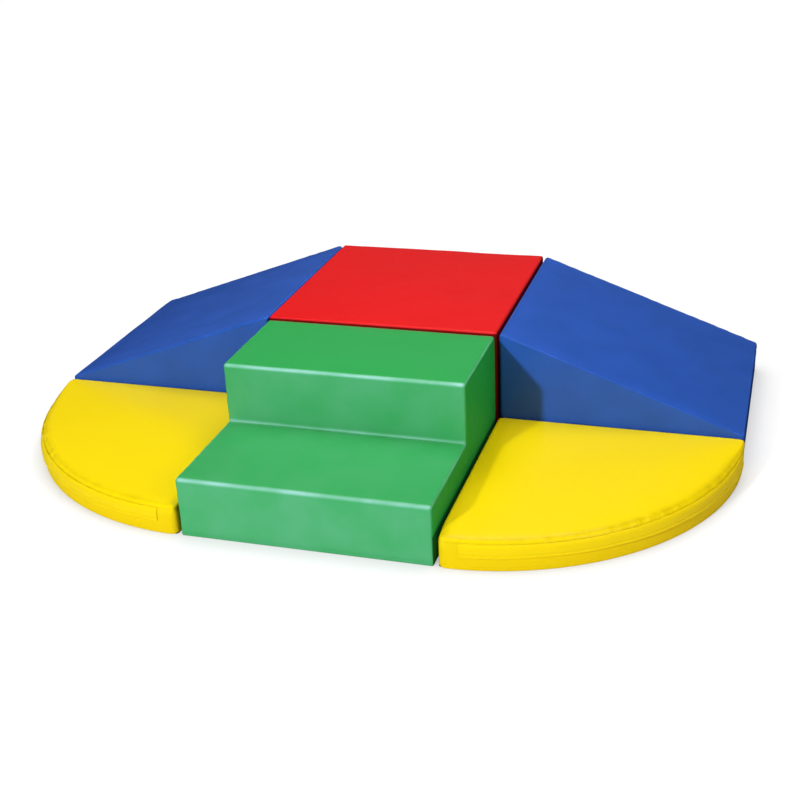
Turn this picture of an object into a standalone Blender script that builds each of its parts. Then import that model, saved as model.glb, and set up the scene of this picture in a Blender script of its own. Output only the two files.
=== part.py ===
"""Soft play foam climber: six vinyl-covered foam modules that stand together as a low climbing set.

A platform block stands at the back and a two-step block climbs to it from the front. A blunt ramp leaves
the platform on each side, and a quarter-round mat fills each front corner. Each module is a foam core in a
sewn vinyl cover with an anti-slip base panel, a sunk zip and a zip slider without a pull tab, and
hook-and-loop strips hold neighbouring modules together.

The set stands on z = 0 with x to its right, y to its back, and the origin under the middle of its footprint.
"""
import math

import bmesh
import bpy
from mathutils import Matrix, Vector

# Modules
PLATFORM_WIDTH = 0.600
PLATFORM_DEPTH = 0.600
PLATFORM_HEIGHT = 0.300
UPPER_TREAD_DEPTH = 0.298
LOWER_TREAD_DEPTH = 0.302
LOWER_RISER = 0.145
STEPS_SIDE_EASE = 0.003
STEPS_TOP_DROP = 0.005
RAMP_TOE_HEIGHT = 0.080
MAT_HEIGHT = 0.075
MODULE_GAP = 0.005

# Covers, cores and bases
COVER_WALL = 0.0012
CORE_GAP = 0.0008
SEAT_GAP = 0.0003
BASE_THICKNESS = 0.002
BLOCK_EDGE_RADIUS = 0.014
MAT_EDGE_RADIUS = 0.010
BLOCK_CROWN = 0.004
MAT_CROWN = 0.003
RISER_DRAW = 0.0015
SWELL_REACH = 0.150

# Sunk zip channels
CHANNEL_HEIGHT = 0.045
CHANNEL_WIDTH = 0.028
CHANNEL_RUN = 0.003
CHANNEL_END_MARGIN = 0.050

# Zips
TAPE_SIDE_GAP = 0.001
TAPE_THICKNESS = 0.0008
TAPE_END_GAP = 0.001
TEETH_WIDTH = 0.006
TEETH_HEIGHT = 0.0022
TEETH_CHAMFER = 0.0008
TEETH_END_MARGIN = 0.004
SLIDER_LENGTH = 0.016
SLIDER_NOSE_LENGTH = 0.005
SLIDER_NOSE_TAPER = 0.0003
SLIDER_PLATE = 0.0014
SLIDER_FLANGE = 0.0014
SLIDER_CLEARANCE = 0.0004
SLIDER_ROUNDING = 0.0003
SLIDER_END_MARGIN = 0.012
BRIDGE_LENGTH = 0.007
BRIDGE_WIDTH = 0.0035
BRIDGE_HEIGHT = 0.0018
BRIDGE_WALL = 0.0009
BRIDGE_SINK = 0.0005
SLIDER_HEADROOM = 0.0008

# Flap over the zip of a mat
FLAP_OVERLAP = 0.0015
FLAP_THICKNESS = 0.0012
FLAP_DROP = 0.002

# Hook-and-loop strips
BLOCK_STRIP_LENGTH = 0.400
BLOCK_STRIP_WIDTH = 0.050
BLOCK_STRIP_HEIGHT = 0.200
MAT_STRIP_LENGTH = 0.360
MAT_STRIP_WIDTH = 0.030
STRIP_CORNER_RADIUS = 0.006

# Facets and grid cells
BLOCK_CELLS = 4
CHANNEL_CELLS = 4
TREAD_CELLS = 2
ARC_FACETS = 20
EDGE_SEGMENTS = 3
SMALL_SEGMENTS = 2
CHANNEL_START_FACET = 1
CHANNEL_FLOOR_FACET = 2

# Cutters pass this far beyond what they cut, and points closer than the weld distance are one point
OVERRUN = 0.002
WELD = 0.00001
SHARP_ANGLE = math.radians(30)
FACING_SHARE = 0.9

# Sizes that follow from the ones above, so that neighbouring modules line up
STEPS_WIDTH = PLATFORM_WIDTH - 2 * STEPS_SIDE_EASE
STEPS_DEPTH = UPPER_TREAD_DEPTH + LOWER_TREAD_DEPTH
UPPER_RISER = PLATFORM_HEIGHT - STEPS_TOP_DROP - LOWER_RISER
MAT_RADIUS = STEPS_DEPTH
RAMP_LENGTH = MAT_RADIUS
RAMP_DEPTH = PLATFORM_DEPTH
RAMP_HEIGHT = PLATFORM_HEIGHT
TAPE_WIDTH = CHANNEL_WIDTH - 2 * (CHANNEL_RUN + TAPE_SIDE_GAP)
FLAP_WIDTH = CHANNEL_WIDTH + 2 * FLAP_OVERLAP
MAT_CHANNEL_HEIGHT = MAT_HEIGHT - MAT_EDGE_RADIUS - FLAP_DROP - FLAP_WIDTH / 2
MAT_STRIP_HEIGHT = MAT_HEIGHT / 2

# The heights of a zip's layers over the floor of its channel
TAPE_FOOT = SEAT_GAP
TAPE_TOP = TAPE_FOOT + TAPE_THICKNESS
TEETH_FOOT = TAPE_TOP + SEAT_GAP
TEETH_TOP = TEETH_FOOT + TEETH_HEIGHT
PLATE_TOP = TEETH_TOP + SLIDER_CLEARANCE + SLIDER_PLATE
BRIDGE_TOP = PLATE_TOP + BRIDGE_HEIGHT
CHANNEL_DEPTH = BRIDGE_TOP + SLIDER_HEADROOM

# Where things stand
HALF_DEPTH = (PLATFORM_DEPTH + MODULE_GAP + STEPS_DEPTH) / 2
SEAM_Y = HALF_DEPTH - PLATFORM_DEPTH
FRONT_BACK_Y = SEAM_Y - MODULE_GAP
SIDE_X = PLATFORM_WIDTH / 2 + MODULE_GAP
CORE_INSET = COVER_WALL + CORE_GAP
BASE_INSET = COVER_WALL + SEAT_GAP
CORE_BOTTOM = BASE_THICKNESS + SEAT_GAP
STRIP_THICKNESS = (MODULE_GAP - 3 * SEAT_GAP) / 2
FACET_ANGLE = math.pi / 2 / ARC_FACETS

# Materials: base colour, metallic and roughness
FINISHES = {
    "red_vinyl": ((0.66, 0.012, 0.014), 0.0, 0.35),
    "green_vinyl": ((0.055, 0.42, 0.105), 0.0, 0.33),
    "blue_vinyl": ((0.035, 0.085, 0.37), 0.0, 0.35),
    "yellow_vinyl": ((0.94, 0.66, 0.008), 0.0, 0.38),
    "foam": ((0.80, 0.78, 0.70), 0.0, 0.95),
    "anti_slip": ((0.030, 0.032, 0.035), 0.0, 0.80),
    "zip_tape": ((0.025, 0.026, 0.030), 0.0, 0.85),
    "zip_teeth": ((0.045, 0.046, 0.050), 0.0, 0.40),
    "slider_metal": ((0.46, 0.47, 0.49), 0.9, 0.35),
    "hook_strip": ((0.020, 0.020, 0.022), 0.0, 0.90),
    "loop_strip": ((0.035, 0.036, 0.040), 0.0, 0.95),
}


def clear_scene():
    """Takes out what the file opened with."""
    for item in list(bpy.data.objects):
        bpy.data.objects.remove(item, do_unlink=True)


def make_collection(name):
    collection = bpy.data.collections.new(name)
    bpy.context.scene.collection.children.link(collection)
    return collection


def make_materials():
    materials = {}
    for name, (color, metallic, roughness) in FINISHES.items():
        material = bpy.data.materials.new(name)
        material.use_nodes = True
        shader = material.node_tree.nodes["Principled BSDF"]
        shader.inputs["Base Color"].default_value = (*color, 1)
        shader.inputs["Metallic"].default_value = metallic
        shader.inputs["Roughness"].default_value = roughness
        material.diffuse_color = (*color, 1)
        materials[name] = material
    return materials


class Assembly:
    """The collections and materials that the pieces go into."""

    def __init__(self):
        self.parts = make_collection("soft_play_climber")
        self.cutters = make_collection("cutters")
        self.materials = make_materials()

    def empty(self, name, location):
        empty = bpy.data.objects.new(name, None)
        empty.location = location
        self.parts.objects.link(empty)
        return empty

    def piece(self, name, bm, material, parent, location=(0, 0, 0), turn=0.0):
        """Adds a bmesh as a named piece under its module, turned about the vertical."""
        bmesh.ops.recalc_face_normals(bm, faces=bm.faces[:])
        mesh = bpy.data.meshes.new(name)
        bm.to_mesh(mesh)
        bm.free()
        mesh.materials.append(self.materials[material])
        piece = bpy.data.objects.new(name, mesh)
        piece.location = location
        piece.rotation_euler.z = turn
        piece.parent = parent
        self.parts.objects.link(piece)
        return piece

    def cutter(self, name, bm, parent, location=(0, 0, 0), turn=0.0):
        cutter = self.piece(name, bm, "foam", parent, location, turn)
        self.parts.objects.unlink(cutter)
        self.cutters.objects.link(cutter)
        cutter.hide_render = True
        cutter.display_type = "WIRE"
        return cutter


# Modifiers

def add_bevel(piece, width, segments, by_weight=False):
    bevel = piece.modifiers.new("rounded_edges", "BEVEL")
    bevel.width = width
    bevel.segments = segments
    bevel.limit_method = "WEIGHT" if by_weight else "ANGLE"
    bevel.angle_limit = SHARP_ANGLE
    bevel.use_clamp_overlap = not by_weight


def add_triangles(piece):
    """Fixes the diagonals, so that a cover's two sides and its core share them."""
    triangles = piece.modifiers.new("fixed_diagonals", "TRIANGULATE")
    triangles.quad_method = "FIXED"


def add_wall(piece, thickness):
    wall = piece.modifiers.new("wall", "SOLIDIFY")
    wall.thickness = thickness
    wall.offset = -1
    wall.use_even_offset = True


def add_boolean(piece, operand, operation):
    boolean = piece.modifiers.new(operand.name, "BOOLEAN")
    boolean.operation = operation
    boolean.solver = "EXACT"
    boolean.object = operand


# Shapes

def evenly(low, high, cells):
    """The inner places that divide low to high into equal cells."""
    return [low + (high - low) * step / cells for step in range(1, cells)]


def slice_at(bm, axis, places):
    """Cuts the mesh right through at each place along an axis."""
    normal = Vector((0, 0, 0))
    normal[axis] = 1
    for place in places:
        everything = bm.verts[:] + bm.edges[:] + bm.faces[:]
        bmesh.ops.bisect_plane(bm, geom=everything, dist=WELD, plane_co=normal * place, plane_no=normal)


def box(low, high):
    """A box between two corners."""
    low, high = Vector(low), Vector(high)
    bm = bmesh.new()
    scale = Matrix.Diagonal((*(high - low), 1))
    bmesh.ops.create_cube(bm, size=1, matrix=Matrix.Translation((low + high) / 2) @ scale)
    return bm


def channel_lines(height):
    """The heights of a channel's two lips and two floor edges, low to high."""
    lip = CHANNEL_WIDTH / 2
    floor = lip - CHANNEL_RUN
    return [height - lip, height - floor, height + floor, height + lip]


def channel_ends(low, high):
    """The places of a straight channel's two lips and two floor edges along its wall."""
    low_lip, high_lip = low + CHANNEL_END_MARGIN, high - CHANNEL_END_MARGIN
    return [low_lip, low_lip + CHANNEL_RUN, high_lip - CHANNEL_RUN, high_lip]


def columns(ends, with_channel):
    """Where a block is cut across its width: at its channel's ends, and evenly between them."""
    return (ends if with_channel else [ends[0], ends[3]]) + evenly(ends[1], ends[2], CHANNEL_CELLS)


def point_at(bm, place):
    """The vertex at a place."""
    return next(vertex for vertex in bm.verts if (vertex.co - Vector(place)).length < 10 * WELD)


def fold_corners(bm, corners):
    """Joins each channel corner's lip to its floor, so that it folds along a mitre."""
    for lip, floor in corners:
        bmesh.ops.connect_verts(bm, verts=[point_at(bm, lip), point_at(bm, floor)])


def press_channel(bm, ends, wall_y):
    """Presses a zip channel into the wall at wall_y, which faces +y."""
    lines = channel_lines(CHANNEL_HEIGHT)
    corners = []
    for end_lip, end_floor in ((ends[0], ends[1]), (ends[3], ends[2])):
        for line_lip, line_floor in ((lines[0], lines[1]), (lines[3], lines[2])):
            corners.append(((end_lip, wall_y, line_lip), (end_floor, wall_y, line_floor)))
    fold_corners(bm, corners)
    for vertex in bm.verts:
        on_wall = abs(vertex.co.y - wall_y) < WELD
        along = ends[1] - WELD < vertex.co.x < ends[2] + WELD
        up = lines[1] - WELD < vertex.co.z < lines[2] + WELD
        if on_wall and along and up:
            vertex.co.y -= CHANNEL_DEPTH


def ease(distance, reach):
    """How far a panel has swelled, from 0 at its border to 1 at the reach."""
    share = max(0.0, min(distance / reach, 1.0))
    return 1 - (1 - share) ** 2


def near_any(value, places):
    return any(abs(value - place) < WELD for place in places)


def on_wall(edge, wall_y):
    return all(abs(vertex.co.y - wall_y) < WELD for vertex in edge.verts)


def swell(bm, corner, along, across, amount):
    """Moves the points inside a flat panel outwards, or inwards where amount is negative."""
    corner, along, across = Vector(corner), Vector(along), Vector(across)
    normal = along.cross(across).normalized()
    moves = []
    for vertex in bm.verts:
        offset = vertex.co - corner
        first = offset.dot(along.normalized())
        second = offset.dot(across.normalized())
        if abs(offset.dot(normal)) > WELD:
            continue
        lift = amount
        for place, length in ((first, along.length), (second, across.length)):
            lift *= ease(min(place, length - place), min(SWELL_REACH, length / 2))
        moves.append((vertex, normal * lift))
    for vertex, move in moves:
        vertex.co += move


def mark_rounded_edges(bm, radius, inset):
    """Gives every sharp edge clear of the bottom the bevel weight of its true radius on this surface."""
    weights = bm.edges.layers.float.new("bevel_weight_edge")
    bm.normal_update()
    for edge in bm.edges:
        if len(edge.link_faces) != 2 or any(face.normal.z < -FACING_SHARE for face in edge.link_faces):
            continue
        turn = edge.calc_face_angle_signed()
        if abs(turn) < SHARP_ANGLE:
            continue
        true_radius = radius - inset if turn > 0 else radius + inset
        edge[weights] = true_radius * math.tan(abs(turn) / 2) / (2 * radius)


def merge_lines(bm, keep):
    """Takes the channel's level lines out of the flat walls, apart from those that keep says."""
    bm.normal_update()
    spare = [
        edge for edge in bm.edges
        if abs(edge.verts[0].co.z - edge.verts[1].co.z) < WELD and len(edge.link_faces) == 2
        and all(abs(face.normal.z) < WELD for face in edge.link_faces) and not keep(edge)
    ]
    bmesh.ops.dissolve_edges(bm, edges=spare, use_verts=True)


def open_bottom(bm):
    """Takes the bottom faces away."""
    bottom = [face for face in bm.faces if face.normal.z < -FACING_SHARE]
    bmesh.ops.delete(bm, geom=bottom, context="FACES")


def platform_form(inset, bottom, with_channel):
    """The platform block, inset evenly, from its bottom to its crowned top."""
    half = PLATFORM_WIDTH / 2 - inset
    back, top = PLATFORM_DEPTH - inset, PLATFORM_HEIGHT - inset
    ends = channel_ends(-PLATFORM_WIDTH / 2, PLATFORM_WIDTH / 2)
    bm = box((-half, inset, bottom), (half, back, top))
    slice_at(bm, 0, columns(ends, with_channel))
    slice_at(bm, 1, evenly(inset, back, BLOCK_CELLS))
    if with_channel:
        slice_at(bm, 2, channel_lines(CHANNEL_HEIGHT))
        merge_lines(bm, keep=lambda edge: on_wall(edge, back))
    mark_rounded_edges(bm, BLOCK_EDGE_RADIUS, inset)
    swell(bm, (-half, inset, top), (2 * half, 0, 0), (0, back - inset, 0), BLOCK_CROWN)
    if with_channel:
        press_channel(bm, ends, back)
    return bm


def steps_form(inset, bottom, with_channel):
    """The two-step block, with its back at y = 0 and its treads towards -y."""
    half = STEPS_WIDTH / 2 - inset
    back, nosing, front = -inset, inset - UPPER_TREAD_DEPTH, inset - STEPS_DEPTH
    tread, top = LOWER_RISER - inset, LOWER_RISER + UPPER_RISER - inset
    ends = channel_ends(-STEPS_WIDTH / 2, STEPS_WIDTH / 2)
    bm = box((-half, front, bottom), (half, back, tread))
    slice_at(bm, 0, columns(ends, with_channel))
    slice_at(bm, 1, evenly(front, nosing, TREAD_CELLS) + [nosing] + evenly(nosing, back, TREAD_CELLS))
    behind = [
        face for face in bm.faces
        if face.normal.z > FACING_SHARE and face.calc_center_median().y > nosing
    ]
    raised = bmesh.ops.extrude_face_region(bm, geom=behind)["geom"]
    bmesh.ops.delete(bm, geom=behind, context="FACES_ONLY")
    lifted = [item for item in raised if isinstance(item, bmesh.types.BMVert)]
    bmesh.ops.translate(bm, verts=lifted, vec=(0, 0, top - tread))
    middles = [tread / 2, (tread + top) / 2]
    slice_at(bm, 2, middles + (channel_lines(CHANNEL_HEIGHT) if with_channel else []))
    merge_lines(bm, keep=lambda edge: on_wall(edge, back) or near_any(edge.verts[0].co.z, middles))
    mark_rounded_edges(bm, BLOCK_EDGE_RADIUS, inset)
    width = (2 * half, 0, 0)
    swell(bm, (-half, nosing, top), width, (0, back - nosing, 0), BLOCK_CROWN)
    swell(bm, (-half, front, tread), width, (0, nosing - front, 0), BLOCK_CROWN)
    swell(bm, (-half, nosing, tread), width, (0, 0, top - tread), -RISER_DRAW)
    swell(bm, (-half, front, bottom), width, (0, 0, tread - bottom), -RISER_DRAW)
    if with_channel:
        press_channel(bm, ends, back)
    return bm


def ramp_form(inset, bottom, side, with_channel):
    """A ramp from its tall wall at x = 0 to its blunt toe, which lies towards side."""
    near, far = inset, RAMP_LENGTH - inset
    back = RAMP_DEPTH - inset
    fall = (RAMP_HEIGHT - RAMP_TOE_HEIGHT) / RAMP_LENGTH
    high = RAMP_HEIGHT - inset * math.hypot(1, fall) - fall * near
    ends = channel_ends(0, RAMP_LENGTH)
    bm = box((near, inset, bottom), (far, back, high))
    slice_at(bm, 0, columns(ends, with_channel))
    slice_at(bm, 1, evenly(inset, back, BLOCK_CELLS))
    for vertex in bm.verts:
        if vertex.co.z > high - WELD:
            vertex.co.z -= fall * (vertex.co.x - near)
    if with_channel:
        slice_at(bm, 2, channel_lines(CHANNEL_HEIGHT))
        merge_lines(bm, keep=lambda edge: on_wall(edge, back))
    mark_rounded_edges(bm, BLOCK_EDGE_RADIUS, inset)
    slope = (far - near, 0, -fall * (far - near))
    swell(bm, (near, inset, high), slope, (0, back - inset, 0), BLOCK_CROWN)
    if with_channel:
        press_channel(bm, ends, back)
    bmesh.ops.scale(bm, vec=(side, 1, 1), verts=bm.verts[:])
    if side < 0:
        bmesh.ops.reverse_faces(bm, faces=bm.faces[:])
    return bm


def facet_of(u, v):
    """Which facet's edge a point of the square grid comes to lie on, counted round the rim."""
    rings = ARC_FACETS / 2
    if v < u:
        return rings * v / u
    return rings * (2 - u / v) if v > 0 else 0


def quarter_round(u, v, inset):
    """Maps a square grid, 0 to 1 each way, to a quarter disc whose rings keep the grid's columns."""
    edge = MAT_RADIUS - inset
    low = math.asin(inset / edge)
    angle = low + facet_of(u, v) / ARC_FACETS * (math.pi / 2 - 2 * low)
    reach = max(u, v)
    x, y = edge * math.cos(angle), edge * math.sin(angle)
    return inset + (x - inset) * reach, inset + (y - inset) * reach


def on_rim(edge):
    """Whether an edge of the square grid comes to lie on the rim."""
    return all(max(vertex.co.x, vertex.co.y) > 1 - WELD for vertex in edge.verts)


def rim_cell(facet):
    """Where a facet's edge lies on the square grid that becomes the quarter disc."""
    rings = ARC_FACETS // 2
    return (1, facet / rings) if facet <= rings else (2 - facet / rings, 1)


def press_rim_channel(bm, rim):
    """Presses a zip channel into a mat's rim. The rim's points come with the facet edge that each is on."""
    lines = channel_lines(MAT_CHANNEL_HEIGHT)
    last_start, last_floor = ARC_FACETS - CHANNEL_START_FACET, ARC_FACETS - CHANNEL_FLOOR_FACET
    corners = []
    for start, floor in ((CHANNEL_START_FACET, CHANNEL_FLOOR_FACET), (last_start, last_floor)):
        lip, foot = quarter_round(*rim_cell(start), 0), quarter_round(*rim_cell(floor), 0)
        for line_lip, line_floor in ((lines[0], lines[1]), (lines[3], lines[2])):
            corners.append(((*lip, line_lip), (*foot, line_floor)))
    fold_corners(bm, corners)
    for vertex, facet in rim:
        along = CHANNEL_FLOOR_FACET - WELD < facet < last_floor + WELD
        up = lines[1] - WELD < vertex.co.z < lines[2] + WELD
        if along and up:
            flat = Vector((vertex.co.x, vertex.co.y, 0))
            vertex.co -= flat.normalized() * CHANNEL_DEPTH


def mat_form(inset, bottom, with_channel):
    """A quarter-round mat with its square corner at the origin and its rim from +x round to +y."""
    top = MAT_HEIGHT - inset
    bm = box((0, 0, bottom), (1, 1, top))
    for axis in (0, 1):
        slice_at(bm, axis, evenly(0, 1, ARC_FACETS // 2))
    if with_channel:
        slice_at(bm, 2, channel_lines(MAT_CHANNEL_HEIGHT))
        merge_lines(bm, keep=on_rim)
    rim = []
    for vertex in bm.verts:
        u, v = vertex.co.x, vertex.co.y
        vertex.co.x, vertex.co.y = quarter_round(u, v, inset)
        if max(u, v) > 1 - WELD:
            rim.append((vertex, facet_of(u, v)))
    mark_rounded_edges(bm, MAT_EDGE_RADIUS, inset)
    for vertex in bm.verts:
        if vertex.co.z > top - WELD:
            x, y = vertex.co.x, vertex.co.y
            straight = ease(min(x, y) - inset, SWELL_REACH)
            vertex.co.z += MAT_CROWN * straight * ease(MAT_RADIUS - inset - math.hypot(x, y), SWELL_REACH)
    if with_channel:
        press_rim_channel(bm, rim)
    return bm


# Pieces of a module

def add_cover(assembly, name, bm, material, parent, turn=0.0, radius=BLOCK_EDGE_RADIUS):
    """The sewn cover: the module's form without its bottom, with rounded edges and one wall."""
    open_bottom(bm)
    cover = assembly.piece(name, bm, material, parent, turn=turn)
    add_bevel(cover, 2 * radius, EDGE_SEGMENTS, by_weight=True)
    add_triangles(cover)
    add_wall(cover, COVER_WALL)
    cover.data.shade_smooth()
    cover.data.set_sharp_from_angle(angle=SHARP_ANGLE)
    return cover


def add_core(assembly, name, bm, groove, parent, turn=0.0, radius=BLOCK_EDGE_RADIUS):
    """The foam core, which fills its cover and has a groove behind the zip channel."""
    core = assembly.piece(name, bm, "foam", parent, turn=turn)
    cutter = assembly.cutter(name + "_groove", groove, parent, turn=turn)
    add_bevel(core, 2 * radius, EDGE_SEGMENTS, by_weight=True)
    add_triangles(core)
    add_boolean(core, cutter, "DIFFERENCE")
    return core


def groove_half():
    """Half the height of the groove in the foam."""
    return CHANNEL_WIDTH / 2 + CORE_INSET


def straight_groove(low, high, wall_y):
    """The room that a straight zip channel takes from the foam behind the wall at wall_y."""
    ends = channel_ends(low, high)
    return box(
        (ends[0] - CORE_INSET, wall_y - CHANNEL_DEPTH - CORE_INSET, CHANNEL_HEIGHT - groove_half()),
        (ends[3] + CORE_INSET, wall_y + OVERRUN, CHANNEL_HEIGHT + groove_half()),
    )


def rim_groove():
    """The room that a mat's zip channel takes from the foam, round the whole rim."""
    section = flat_section(-CHANNEL_DEPTH - CORE_INSET, OVERRUN, 2 * groove_half())
    return arc_run(section, MAT_RADIUS, 0, ARC_FACETS)


def add_base(assembly, name, bm, parent, turn=0.0, radius=BLOCK_EDGE_RADIUS):
    """The anti-slip base panel, sewn inside the cover's lower edge."""
    mark_rounded_edges(bm, radius, BASE_INSET)
    weights = bm.edges.layers.float["bevel_weight_edge"]
    for edge in bm.edges:
        if abs(edge.verts[0].co.z - edge.verts[1].co.z) < WELD:
            edge[weights] = 0
    base = assembly.piece(name, bm, "anti_slip", parent, turn=turn)
    add_bevel(base, 2 * radius, EDGE_SEGMENTS, by_weight=True)
    return base


def quarter_panel(inset, bottom, top):
    """A quarter-round plate with its square corner at the origin."""
    bm = box((0, 0, bottom), (1, 1, top))
    for axis in (0, 1):
        slice_at(bm, axis, evenly(0, 1, ARC_FACETS // 2))
    for vertex in bm.verts:
        vertex.co.x, vertex.co.y = quarter_round(vertex.co.x, vertex.co.y, inset)
    bmesh.ops.dissolve_limit(bm, angle_limit=FACET_ANGLE / 2, verts=bm.verts[:], edges=bm.edges[:])
    return bm


# Zips. Their sections lie with x out of the wall and z up, counted from the channel's floor.

def flat_section(low, high, width):
    """A flat strip's section."""
    half = width / 2
    return [(low, -half), (high, -half), (high, half), (low, half)]


def teeth_section():
    half = TEETH_WIDTH / 2
    return [
        (TEETH_FOOT, -half),
        (TEETH_TOP - TEETH_CHAMFER, -half),
        (TEETH_TOP, TEETH_CHAMFER - half),
        (TEETH_TOP, half - TEETH_CHAMFER),
        (TEETH_TOP - TEETH_CHAMFER, half),
        (TEETH_FOOT, half),
    ]


def section_face(section, outwards, height):
    """A section as one face in the x-z plane, at a height, with its foot this far out from the z axis."""
    bm = bmesh.new()
    bm.faces.new([bm.verts.new((outwards + depth, 0, height + up)) for depth, up in section])
    return bm


def straight_run(section, wall_y, start, end):
    """A section drawn along x, on the floor of the channel in the wall at wall_y."""
    bm = section_face(section, 0, CHANNEL_HEIGHT)
    quarter = Matrix.Rotation(math.pi / 2, 3, "Z")
    bmesh.ops.rotate(bm, cent=(0, 0, 0), matrix=quarter, verts=bm.verts[:])
    bmesh.ops.translate(bm, vec=(start, wall_y - CHANNEL_DEPTH, 0), verts=bm.verts[:])
    drawn = bmesh.ops.extrude_face_region(bm, geom=bm.faces[:])["geom"]
    far = [item for item in drawn if isinstance(item, bmesh.types.BMVert)]
    bmesh.ops.translate(bm, vec=(end - start, 0, 0), verts=far)
    return bm


def arc_run(section, radius, first_facet, last_facet):
    """A section swept about the z axis at the height of a mat's channel, on the facets of its rim."""
    bm = section_face(section, radius, MAT_CHANNEL_HEIGHT)
    start = Matrix.Rotation(first_facet * FACET_ANGLE, 3, "Z")
    bmesh.ops.rotate(bm, cent=(0, 0, 0), matrix=start, verts=bm.verts[:])
    facets = last_facet - first_facet
    bmesh.ops.spin(
        bm, geom=bm.faces[:], cent=(0, 0, 0), axis=(0, 0, 1), angle=facets * FACET_ANGLE, steps=facets
    )
    return bm


def slider_plate():
    """The slider's body: a plate that narrows to its nose, x along the zip and z out of the wall."""
    half = TEETH_WIDTH / 2 + SLIDER_CLEARANCE + SLIDER_FLANGE
    bm = box((-SLIDER_LENGTH / 2, -half, TEETH_FOOT), (SLIDER_LENGTH / 2, half, PLATE_TOP))
    slice_at(bm, 0, [SLIDER_LENGTH / 2 - SLIDER_NOSE_LENGTH])
    for vertex in bm.verts:
        if vertex.co.x > SLIDER_LENGTH / 2 - WELD:
            vertex.co.y *= 1 - SLIDER_NOSE_TAPER / half
    return bm


def slider_groove():
    """The room under the plate for the row of teeth."""
    half = TEETH_WIDTH / 2 + SLIDER_CLEARANCE
    reach = SLIDER_LENGTH / 2 + OVERRUN
    return box((-reach, -half, -OVERRUN), (reach, half, TEETH_TOP + SLIDER_CLEARANCE))


def slider_bridge():
    """The low bridge that a key hooks into, with its foot sunk in the plate."""
    half_length, half_width = BRIDGE_LENGTH / 2, BRIDGE_WIDTH / 2
    low = (-half_length, -half_width, PLATE_TOP - BRIDGE_SINK)
    return box(low, (half_length, half_width, BRIDGE_TOP))


def bridge_eye():
    """The eye through the bridge, from side to side."""
    half_length = BRIDGE_LENGTH / 2 - BRIDGE_WALL
    half_width = BRIDGE_WIDTH / 2 + OVERRUN
    low = (-half_length, -half_width, PLATE_TOP)
    return box(low, (half_length, half_width, BRIDGE_TOP - BRIDGE_WALL))


def place_slider(bm, matrix):
    bmesh.ops.transform(bm, matrix=matrix, verts=bm.verts[:])
    return bm


def add_slider(assembly, name, parent, matrix, location=(0, 0, 0)):
    """A zip slider without a pull tab. The matrix stands it on the channel's floor."""
    slider = assembly.piece(name, place_slider(slider_plate(), matrix), "slider_metal", parent, location)
    groove = assembly.cutter(name + "_groove", place_slider(slider_groove(), matrix), parent, location)
    bridge = assembly.cutter(name + "_bridge", place_slider(slider_bridge(), matrix), parent, location)
    eye = assembly.cutter(name + "_eye", place_slider(bridge_eye(), matrix), parent, location)
    add_bevel(slider, SLIDER_ROUNDING, 1)
    add_boolean(slider, groove, "DIFFERENCE")
    add_boolean(slider, bridge, "UNION")
    add_boolean(slider, eye, "DIFFERENCE")
    return slider


def add_straight_zip(assembly, module, parent, low, high, wall_y):
    """The tape, teeth and slider of a straight zip in the wall at wall_y, which faces +y."""
    ends = channel_ends(low, high)
    start, end = ends[1] + TAPE_END_GAP, ends[2] - TAPE_END_GAP
    tape = straight_run(flat_section(TAPE_FOOT, TAPE_TOP, TAPE_WIDTH), wall_y, start, end)
    teeth = straight_run(teeth_section(), wall_y, start + TEETH_END_MARGIN, end - TEETH_END_MARGIN)
    assembly.piece(module + "_zip_tape", tape, "zip_tape", parent)
    assembly.piece(module + "_zip_teeth", teeth, "zip_teeth", parent)
    rest = start + TEETH_END_MARGIN + SLIDER_END_MARGIN
    upright = Matrix.Rotation(-math.pi / 2, 4, "X") @ Matrix.Rotation(math.pi, 4, "Z")
    add_slider(
        assembly, module + "_zip_slider", parent, upright, (rest, wall_y - CHANNEL_DEPTH, CHANNEL_HEIGHT)
    )


def add_arc_zip(assembly, module, parent, turn):
    """The zip in a mat's rim, with its flap. The slider turns about the mat's square corner."""
    first, last = CHANNEL_FLOOR_FACET, ARC_FACETS - CHANNEL_FLOOR_FACET
    floor = MAT_RADIUS - CHANNEL_DEPTH
    tape = arc_run(flat_section(TAPE_FOOT, TAPE_TOP, TAPE_WIDTH), floor, first, last)
    teeth = arc_run(teeth_section(), floor, first, last)
    assembly.piece(module + "_zip_tape", tape, "zip_tape", parent, turn=turn)
    assembly.piece(module + "_zip_teeth", teeth, "zip_teeth", parent, turn=turn)
    rest = first * FACET_ANGLE + (SLIDER_LENGTH / 2 + SLIDER_END_MARGIN) / MAT_RADIUS
    stand = Matrix.Rotation(math.pi / 2, 4, "Z") @ Matrix.Rotation(math.pi / 2, 4, "X")
    out = Matrix.Translation((floor, 0, MAT_CHANNEL_HEIGHT))
    add_slider(
        assembly, module + "_zip_slider", parent, Matrix.Rotation(turn + rest, 4, "Z") @ out @ stand
    )
    section = flat_section(SEAT_GAP, SEAT_GAP + FLAP_THICKNESS, FLAP_WIDTH)
    flap = arc_run(section, MAT_RADIUS, CHANNEL_START_FACET, ARC_FACETS - CHANNEL_START_FACET)
    assembly.piece(module + "_zip_flap", flap, "yellow_vinyl", parent, turn=turn)


# Hook-and-loop strips

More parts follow.
